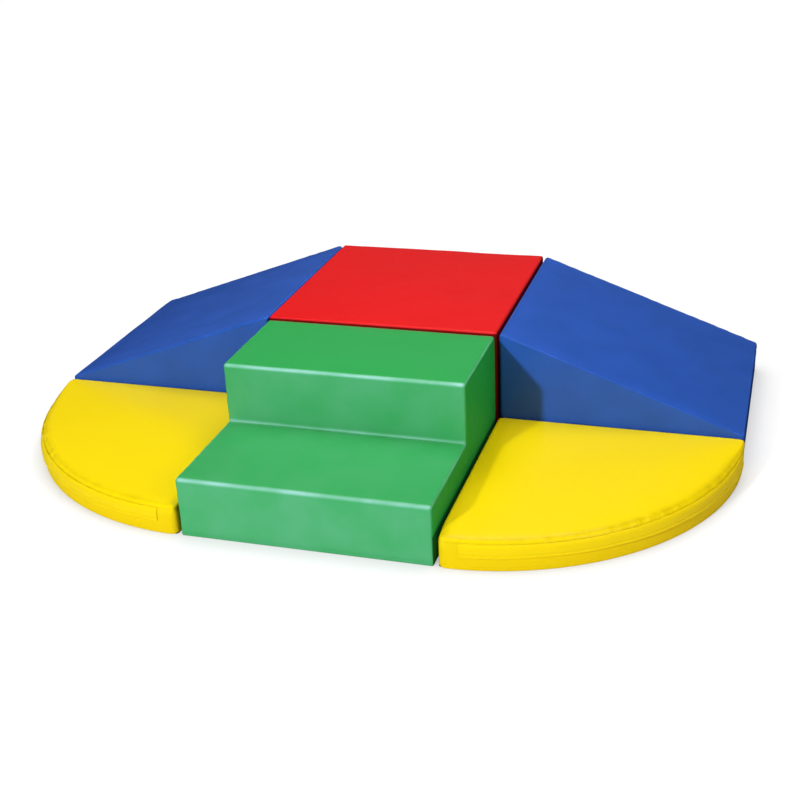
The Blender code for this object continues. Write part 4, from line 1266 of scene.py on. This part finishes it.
def vinyl(wiring, given):
    """Embossed vinyl: a fine grain, slow colour drift, handling marks, and dust in the seams."""
    matt, seam, fold = wiring.attribute("matt"), wiring.attribute("seam"), wiring.attribute("fold")
    drift = wiring.spread(wiring.noise(0.22, 3.0), 0.35, 0.65, 0.0, 1.0)
    # The colour deepens with a slow real drift, and on the matt walls as painted shade
    deeper = wiring.math("MAXIMUM", wiring.times(drift, 0.15), wiring.times(matt, 0.85))
    toned = wiring.mix(deeper, given["Colour"], given["Deep Colour"])
    sewn = wiring.mix(wiring.times(seam, 0.45), toned, given["Deep Colour"])
    patchy = wiring.spread(wiring.noise(0.090, 3.0), 0.35, 0.65, 0.55, 1.0)
    # Painted light along rolled edges and on some panels: a painted highlight on the red, green and blue
    # vinyl, painted shade on the yellow
    painted_light_share = wiring.plus(wiring.attribute("edge"), wiring.times(fold, 0.5))
    with_painted_light = wiring.mix(wiring.times(painted_light_share, patchy, given["Rub"]), sewn, given["Rub Colour"])
    # Painted shade: walls in a narrow gap are darkened towards black
    with_gap_shade = wiring.mix(wiring.times(wiring.attribute("gap"), 0.82), with_painted_light, (0, 0, 0, 1))
    marks = wiring.spread(wiring.noise(0.060, 4.0), 0.40, 0.75, -0.025, 0.045)
    rough = wiring.plus(given["Gloss"], marks, wiring.times(seam, 0.15), wiring.times(matt, 0.45))
    pebble = wiring.spread(wiring.cells(0.0016), 0.0, 0.6, 1.0, 0.0)
    crease = wiring.times(wiring.noise(0.012, 3.0), 0.35)
    height = wiring.times(wiring.plus(pebble, crease), given["Grain"])
    run = wiring.math("DIVIDE", wiring.attribute("run"), 0.011)
    pulls = wiring.node("TexNoise", {"noise_dimensions": "1D"}, W=run, Scale=1.0, Detail=2.0)
    pulled = wiring.times(pulls.outputs["Fac"], wiring.times(wiring.attribute("pull"), 12.0))
    return with_gap_shade, rough, wiring.plus(height, pulled)


def weave(wiring, given):
    """Woven tape: two crossing rows of yarn."""
    spot = wiring.node("SeparateXYZ", Vector=wiring.place()).outputs
    pace = wiring.math("DIVIDE", 2 * math.pi, given["Yarn"])
    warp = wiring.math("SINE", wiring.times(wiring.plus(spot[0], wiring.times(spot[1], 0.7)), pace))
    weft = wiring.math("SINE", wiring.times(spot[2], pace))
    height = wiring.spread(wiring.times(warp, weft), -1.0, 1.0, 0.0, 1.0)
    tone = wiring.plus(wiring.times(height, 0.5), wiring.noise(0.004))
    colour = wiring.mix(wiring.times(tone, 0.25), given["Colour"], (0.5, 0.5, 0.5, 1))
    return colour, wiring.spread(height, 0.0, 1.0, 0.85, 0.65), height


def nap(wiring, given):
    """Hook or loop nap: rows of small tufts, tidy or fluffy."""
    dots = wiring.spread(wiring.cells(given["Tuft"], given["Fluff"]), 0.10, 0.42, 1.0, 0.0)
    height = wiring.plus(dots, wiring.times(wiring.noise(0.0011, 4.0), given["Fluff"]))
    colour = wiring.mix(wiring.times(height, 0.16), given["Colour"], (0.6, 0.6, 0.6, 1))
    return colour, wiring.spread(height, 0.0, 1.4, 0.9, 0.55), height


def open_foam(wiring, given):
    """Open foam: small cells and a little yellowing."""
    cells = wiring.cells(given["Cell"])
    aged = wiring.mix(wiring.times(wiring.noise(0.15, 3.0), 0.4), given["Colour"], (0.60, 0.46, 0.22, 1))
    return aged, wiring.spread(cells, 0.0, 0.6, 1.0, 0.8), cells


def grip(wiring, given):
    """Anti-slip fabric: even rubber dots on a woven ground."""
    bumps = wiring.spread(wiring.cells(given["Dot"], 0.0), 0.20, 0.34, 1.0, 0.0)
    ground = wiring.times(wiring.noise(0.0012), 0.3)
    colour = wiring.mix(wiring.times(bumps, 0.35), given["Colour"], (0.10, 0.10, 0.10, 1))
    return colour, wiring.spread(bumps, 0.0, 1.0, 0.85, 0.55), wiring.plus(bumps, ground)


def zinc(wiring, given):
    """Plated zinc: fine brushing, soft spots and dull edges."""
    stretch = wiring.node("Mapping", Vector=wiring.place(), Scale=(1.0, 14.0, 14.0)).outputs[0]
    brushed = wiring.noise(0.0030, 3.0, place=stretch)
    colour = wiring.mix(wiring.times(wiring.noise(0.0040, 4.0), 0.35), given["Colour"], (0.25, 0.24, 0.22, 1))
    return colour, wiring.plus(given["Gloss"], wiring.times(brushed, 0.18)), brushed


def plastic(wiring, given):
    """Moulded plastic: a slight orange peel and a soft change of sheen."""
    peel = wiring.noise(0.0006, 3.0)
    colour = wiring.mix(wiring.times(wiring.noise(0.010), 0.20), given["Colour"], (0.30, 0.30, 0.30, 1))
    return colour, wiring.plus(given["Gloss"], wiring.times(peel, 0.15)), peel


# Each group's maker, colours and values

GROUPS = {
    # The vinyl's second colour and its share give the painted light along rolled edges and on some panels
    "Embossed vinyl": (
        vinyl, ("Colour", "Deep Colour", "Rub Colour"), {"Rub": 0.3, "Gloss": 0.30, "Grain": 0.22}),
    "Woven tape": (weave, ("Colour",), {"Yarn": 0.0009}),
    "Hook and loop nap": (nap, ("Colour",), {"Tuft": 0.0016, "Fluff": 0.3}),
    "Open foam": (open_foam, ("Colour",), {"Cell": 0.0020}),
    "Dotted grip fabric": (grip, ("Colour",), {"Dot": 0.0050}),
    "Plated zinc": (zinc, ("Colour",), {"Gloss": 0.32}),
    "Moulded plastic": (plastic, ("Colour",), {"Gloss": 0.4}),
}


def surface_group(name):
    """A node group, built once, that gives a surface its colour, roughness and height."""
    if name in bpy.data.node_groups:
        return bpy.data.node_groups[name]
    make, colours, values = GROUPS[name]
    group = bpy.data.node_groups.new(name, "ShaderNodeTree")
    sockets = group.interface
    for colour in colours:
        sockets.new_socket(colour, in_out="INPUT", socket_type="NodeSocketColor")
    for value, default in values.items():
        sockets.new_socket(value, in_out="INPUT", socket_type="NodeSocketFloat").default_value = default
    for output, kind in (("Colour", "Color"), ("Roughness", "Float"), ("Height", "Float")):
        sockets.new_socket(output, in_out="OUTPUT", socket_type="NodeSocket" + kind)
    wiring = Wiring(group)
    made = make(wiring, wiring.node("NodeGroupInput").outputs)
    for socket, value in zip(wiring.node("NodeGroupOutput").inputs, made):
        wiring.feed(socket, value)
    return group


def opaque(colour):
    return (*colour, 1)


def surface_material(name, group, values, relief, metallic=0.0, specular=0.5, sheen=0.0):
    """A material whose colour, roughness and bump come from one group."""
    if name in bpy.data.materials:
        return bpy.data.materials[name]
    material, wiring = new_material(name)
    surface = wiring.node("Group", {"node_tree": surface_group(group)}, **values)
    bump = wiring.node("Bump", Strength=1.0, Distance=relief, Height=surface.outputs["Height"])
    shader = wiring.node(
        "BsdfPrincipled", Base_Color=surface.outputs["Colour"], Roughness=surface.outputs["Roughness"],
        Normal=bump.outputs[0], Metallic=metallic, Sheen_Weight=sheen, Specular_IOR_Level=specular)
    wiring.node("OutputMaterial", Surface=shader.outputs[0])
    return material


def new_material(name):
    material = bpy.data.materials.new(name)
    material.use_nodes = True
    material.node_tree.nodes.clear()
    return material, Wiring(material.node_tree)


# Vinyls: the deep tint, which the colour drifts towards, the seams darken towards and the matt walls take as
# painted shade; the colour and share of the painted light along rolled edges and on some panels, a painted
# highlight on the red, green and blue and painted shade on the yellow; and the gloss

VINYLS = {
    "red": ((0.80, 0.3, 0.9), (0.85, 0.06, 0.06), 0.10, 0.15),
    "green": ((0.12, 0.98, 0.60), (0.44, 0.72, 0.74), 0.55, 0.22),
    "blue": ((0.75, 0.72, 0.86), (0.05, 0.18, 0.92), 0.45, 0.22),
    "yellow": ((0.90, 0.84, 0.6), (0.58, 0.40, 0.001), 0.50, 0.12),
}
VINYL_RELIEF = 0.00006

# Other finishes: material, group, name of the colour, height of the relief, values and shader's own values

FINISHES = {
    "foam": ("foam", "Open foam", "foam", 0.0006, {}, {}),
    "anti_slip": ("anti-slip fabric", "Dotted grip fabric", "base", 0.0006, {}, {}),
    "zip_tape": ("zip tape", "Woven tape", "tape", 0.0002, {}, {"sheen": 0.1}),
    "zip_teeth": ("zip teeth", "Moulded plastic", "teeth", 0.00003, {}, {}),
    "slider_metal": ("zip slider", "Plated zinc", "metal", 0.00004, {}, {"metallic": 1.0}),
    "hook_strip": ("hook strip", "Hook and loop nap", "hook", 0.0007, {"Tuft": 0.0018, "Fluff": 0.12}, {}),
    "loop_strip": (
        "loop strip", "Hook and loop nap", "loop", 0.0009, {"Tuft": 0.0013, "Fluff": 0.9}, {"sheen": 0.3}),
}


def slot_material(slot):
    """The finish of one of the record's material slots."""
    colours = bpy.context.scene.climber_colours
    if slot in FINISHES:
        name, group, colour, relief, values, options = FINISHES[slot]
        values = {"Colour": opaque(getattr(colours, colour)), **values}
        return surface_material(name, group, values, relief, **options)
    shade = slot.removesuffix("_vinyl")
    # The second colour and share are the painted light along rolled edges and on some panels
    deep_tint, light_colour, share, specular = VINYLS[shade]
    colour = getattr(colours, shade)
    deep = [channel * tint for channel, tint in zip(colour, deep_tint)]
    values = {"Colour": opaque(colour), "Deep_Colour": opaque(deep), "Rub_Colour": opaque(light_colour), "Rub": share}
    return surface_material(shade + " vinyl", "Embossed vinyl", values, VINYL_RELIEF, specular=specular)


# Operators

class ClimberOperator:
    bl_options = {"REGISTER", "UNDO"}


class CLIMBER_OT_platform(ClimberOperator, bpy.types.Operator):
    """Sew the red cover of the platform block"""
    bl_idname = "climber.platform_cover"
    bl_label = "Platform Cover"

    def execute(self, context):
        grid = platform_grid(context.scene.climber_covers.cell)
        build_cover("platform", *grid, "red_vinyl", BLOCK_FILL, PLATFORM_SEED)
        return {"FINISHED"}


class CLIMBER_OT_steps(ClimberOperator, bpy.types.Operator):
    """Sew the green cover of the two steps"""
    bl_idname = "climber.steps_cover"
    bl_label = "Steps Cover"

    def execute(self, context):
        grid = steps_grid(context.scene.climber_covers.cell)
        build_cover("steps", *grid, "green_vinyl", BLOCK_FILL, STEPS_SEED)
        return {"FINISHED"}


class CLIMBER_OT_ramps(ClimberOperator, bpy.types.Operator):
    """Sew the blue covers of the two ramps"""
    bl_idname = "climber.ramp_covers"
    bl_label = "Ramp Covers"

    def execute(self, context):
        for seed, (word, side) in zip(RAMP_SEEDS, SIDES.items()):
            grid = ramp_grid(context.scene.climber_covers.cell, side)
            build_cover(word + "_ramp", *grid, "blue_vinyl", BLOCK_FILL, seed)
        return {"FINISHED"}


class CLIMBER_OT_mats(ClimberOperator, bpy.types.Operator):
    """Sew the yellow covers of the two quarter-round mats"""
    bl_idname = "climber.mat_covers"
    bl_label = "Mat Covers"

    def execute(self, context):
        for seed, (word, side) in zip(MAT_SEEDS, SIDES.items()):
            grid = mat_grid(context.scene.climber_covers.cell, side)
            build_cover(word + "_mat", *grid, "yellow_vinyl", MAT_FILL, seed)
        return {"FINISHED"}


class CLIMBER_OT_cores(ClimberOperator, bpy.types.Operator):
    """Cut the foam cores that fill the covers"""
    bl_idname = "climber.foam_cores"
    bl_label = "Foam Cores"

    def execute(self, context):
        cell = context.scene.climber_covers.core_cell
        build_core("platform", *platform_grid(cell))
        build_core("steps", *steps_grid(cell))
        for word, side in SIDES.items():
            build_core(word + "_ramp", *ramp_grid(cell, side))
            build_core(word + "_mat", *mat_grid(cell, side))
        return {"FINISHED"}


class CLIMBER_OT_zips(ClimberOperator, bpy.types.Operator):
    """Set the teeth of the six zips, and sew the flaps over the mats' zips"""
    bl_idname = "climber.zips"
    bl_label = "Zips and Flaps"

    def execute(self, context):
        for module in MODULES:
            build_teeth(module)
        for word in SIDES:
            build_flap(word)
        return {"FINISHED"}


class CLIMBER_OT_stitching(ClimberOperator, bpy.types.Operator):
    """Sew the borders of the hook-and-loop strips"""
    bl_idname = "climber.stitching"
    bl_label = "Strip Stitching"

    def execute(self, context):
        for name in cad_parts:
            for slot in ("hook_strip", "loop_strip"):
                if name.endswith(slot):
                    module = next(module for module in MODULES if name.startswith(module))
                    build_stitches(name + "_stitching", module, strip_runs(name, module), slot)
        return {"FINISHED"}


class CLIMBER_OT_fittings(ClimberOperator, bpy.types.Operator):
    """Finish the base panels, zip tapes, sliders and hook-and-loop strips"""
    bl_idname = "climber.fittings"
    bl_label = "Fittings"

    def execute(self, context):
        for name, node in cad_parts.items():
            for ending, slot in FITTING_SLOTS.items():
                if name.endswith(ending) and not node.hide_render:
                    finish_piece(node, slot)
        return {"FINISHED"}


class CLIMBER_OT_stage(ClimberOperator, bpy.types.Operator):
    """Set up the pale floor, soft lamps, white backdrop and camera"""
    bl_idname = "climber.stage"
    bl_label = "Stage"

    def execute(self, context):
        for make in (make_floor, make_world, make_lamps, make_camera):
            make(context.scene.climber_stage)
        context.scene.view_settings.view_transform = "Standard"
        return {"FINISHED"}


# Stage

def make_floor(settings):
    bm = bmesh.new()
    bmesh.ops.create_grid(bm, x_segments=1, y_segments=1, size=FLOOR_REACH)
    floor = link("studio_floor", mesh_from("studio_floor", bm))
    floor.location.z = -FLOOR_DROP
    material, wiring = new_material("pale floor")
    mottle = wiring.times(wiring.noise(0.5), 0.03)
    lit = wiring.node("BsdfDiffuse", Color=wiring.mix(mottle, opaque(settings.floor), (0.7, 0.7, 0.7, 1)))
    away = wiring.node("VectorMath", {"operation": "LENGTH"})
    wiring.feed(away.inputs[0], wiring.place())
    shade = wiring.times(wiring.spread(away.outputs["Value"], *SHADE_FADE, 1.0, 0.0), settings.shadow)
    # Painted contact shade: the floor the camera sees darkens near the covers, by ambient occlusion.
    painted_contact_shade = wiring.node("AmbientOcclusion", {"samples": 8}, Distance=CONTACT_REACH).outputs["AO"]
    painted_contact_shade = wiring.times(wiring.math("SUBTRACT", 1.0, painted_contact_shade), settings.contact)
    grey = wiring.node("CombineColor", Red=shade, Green=shade, Blue=shade).outputs[0]
    base = wiring.math("SUBTRACT", 1.03, wiring.times(shade, 0.86))
    white = wiring.node("Emission", Color=(1, 1, 1, 1), Strength=wiring.math("SUBTRACT", base, painted_contact_shade))
    seen = wiring.join("AddShader", wiring.node("BsdfDiffuse", Color=grey), white)
    # Painted reflection: a strip of floor in front of the covers glows pale blue for gloss rays only, so the
    # covers' gloss shows a bright front.
    spot = wiring.node("SeparateXYZ", Vector=wiring.place()).outputs
    front = FRAME_BOX[0][1]
    before = wiring.spread(spot[1], front - MIRROR_RUN, front, 1.0, 0.0)
    beside = wiring.spread(wiring.math("ABSOLUTE", spot[0]), *MIRROR_FADE, 1.0, 0.0)
    painted_reflection = wiring.node(
        "Emission", Color=opaque(settings.floor_gloss), Strength=wiring.times(before, beside))
    paths = wiring.node("LightPath").outputs
    glossed = wiring.join("MixShader", lit, painted_reflection, Fac=paths["Is Glossy Ray"])
    mixed = wiring.join("MixShader", glossed, seen, Fac=paths["Is Camera Ray"])
    wiring.node("OutputMaterial", Surface=mixed.outputs[0])
    floor.data.materials.append(material)
    floor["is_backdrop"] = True


def make_world(settings):
    world = bpy.data.worlds.new("white studio")
    bpy.context.scene.world = world
    world.use_nodes = True
    world.node_tree.nodes.clear()
    wiring = Wiring(world.node_tree)
    path = wiring.node("LightPath").outputs
    shown = wiring.math("MAXIMUM", path["Is Camera Ray"], path["Is Transmission Ray"])
    shown = wiring.math("MAXIMUM", shown, wiring.times(path["Is Glossy Ray"], settings.backdrop))
    strength = wiring.math("MAXIMUM", shown, settings.ambient)
    light = wiring.node("Background", Color=(1, 1, 1, 1), Strength=strength)
    wiring.node("OutputWorld", Surface=light.outputs[0])


def add_lamp(name, power, size, place, height, tint=(1, 1, 1), lights=True, gleams=True):
    """An area lamp aimed at a height over the middle. It lights surfaces, shows in their gloss, or both."""
    data = bpy.data.lights.new(name, "AREA")
    data.energy = power
    data.color = tint
    data.shape = "RECTANGLE"
    data.size, data.size_y = size
    lamp = link(name, data)
    lamp.location = place
    lamp.rotation_euler = (Vector((0, 0, height)) - Vector(place)).to_track_quat("-Z", "Y").to_euler()
    lamp.visible_diffuse = lights
    lamp.visible_glossy = gleams


def make_lamps(settings):
    key, tint = (-2.38, -6.98, 3.27), settings.key_tint
    add_lamp("key_lamp", settings.key_power, (0.36, 0.36), key, 0.15, tint=tint, gleams=False)
    add_lamp("gleam_lamp", settings.gleam_power, (2.0, 1.6), key, 0.15, tint=tint, lights=False)
    add_lamp("back_lamp", settings.back_power, (2.0, 1.6), (-0.6, 3.4, 1.5), 0.1, gleams=False)
    add_lamp("fill_lamp", settings.fill_power, (1.2, 1.2), (2.94, -1.77, 2.2), 0.15)
    add_lamp("overhead_lamp", settings.top_power, (2.6, 2.2), (0.1, 0.1, 2.7), 0)


def make_camera(settings):
    data = bpy.data.cameras.new("camera")
    data.sensor_width = 36
    data.lens = settings.lens
    camera = link("camera", data)
    turn = (
        Matrix.Rotation(settings.yaw, 4, "Z") @ Matrix.Rotation(settings.pitch, 4, "X")
        @ Matrix.Rotation(settings.roll, 4, "Y"))
    look = Matrix.Rotation(math.radians(90), 4, "X")
    camera.matrix_world = Matrix.Translation(settings.place) @ turn @ look
    bpy.context.scene.camera = camera


# Panel and registration

OPERATORS = (
    CLIMBER_OT_platform, CLIMBER_OT_steps, CLIMBER_OT_ramps, CLIMBER_OT_mats, CLIMBER_OT_cores,
    CLIMBER_OT_zips, CLIMBER_OT_stitching, CLIMBER_OT_fittings, CLIMBER_OT_stage)
SETTINGS = {
    "climber_colours": ClimberColours, "climber_covers": CoverSizes, "climber_zips": ZipSizes,
    "climber_stage": StageSettings}


class CLIMBER_PT_sidebar(bpy.types.Panel):
    bl_label = "Soft Play Climber"
    bl_idname = "CLIMBER_PT_sidebar"
    bl_space_type = "VIEW_3D"
    bl_region_type = "UI"
    bl_category = "Soft Play"

    def draw(self, context):
        for operator in OPERATORS:
            self.layout.operator(operator.bl_idname)
        for name in SETTINGS:
            settings = getattr(context.scene, name)
            box = self.layout.box()
            for key in settings.bl_rna.properties.keys():
                if key not in ("rna_type", "name"):
                    box.prop(settings, key)


def register():
    for item in (*SETTINGS.values(), *OPERATORS, CLIMBER_PT_sidebar):
        bpy.utils.register_class(item)
    for name, group in SETTINGS.items():
        setattr(bpy.types.Scene, name, bpy.props.PointerProperty(type=group))


def unregister():
    for name in SETTINGS:
        delattr(bpy.types.Scene, name)
    for item in reversed((*SETTINGS.values(), *OPERATORS, CLIMBER_PT_sidebar)):
        bpy.utils.unregister_class(item)


def run(operator):
    """Calls an operator by its name."""
    group, name = operator.bl_idname.split(".")
    getattr(getattr(bpy.ops, group), name)()


def main():
    register()
    for operator in OPERATORS:
        run(operator)
    bpy.context.view_layer.update()
    boxes = {"cad": FRAME_BOX, "visual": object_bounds()}
    {name: [list(map(float, corner)) for corner in box] for name, box in boxes.items()}


if __name__ == "__main__":
    main()
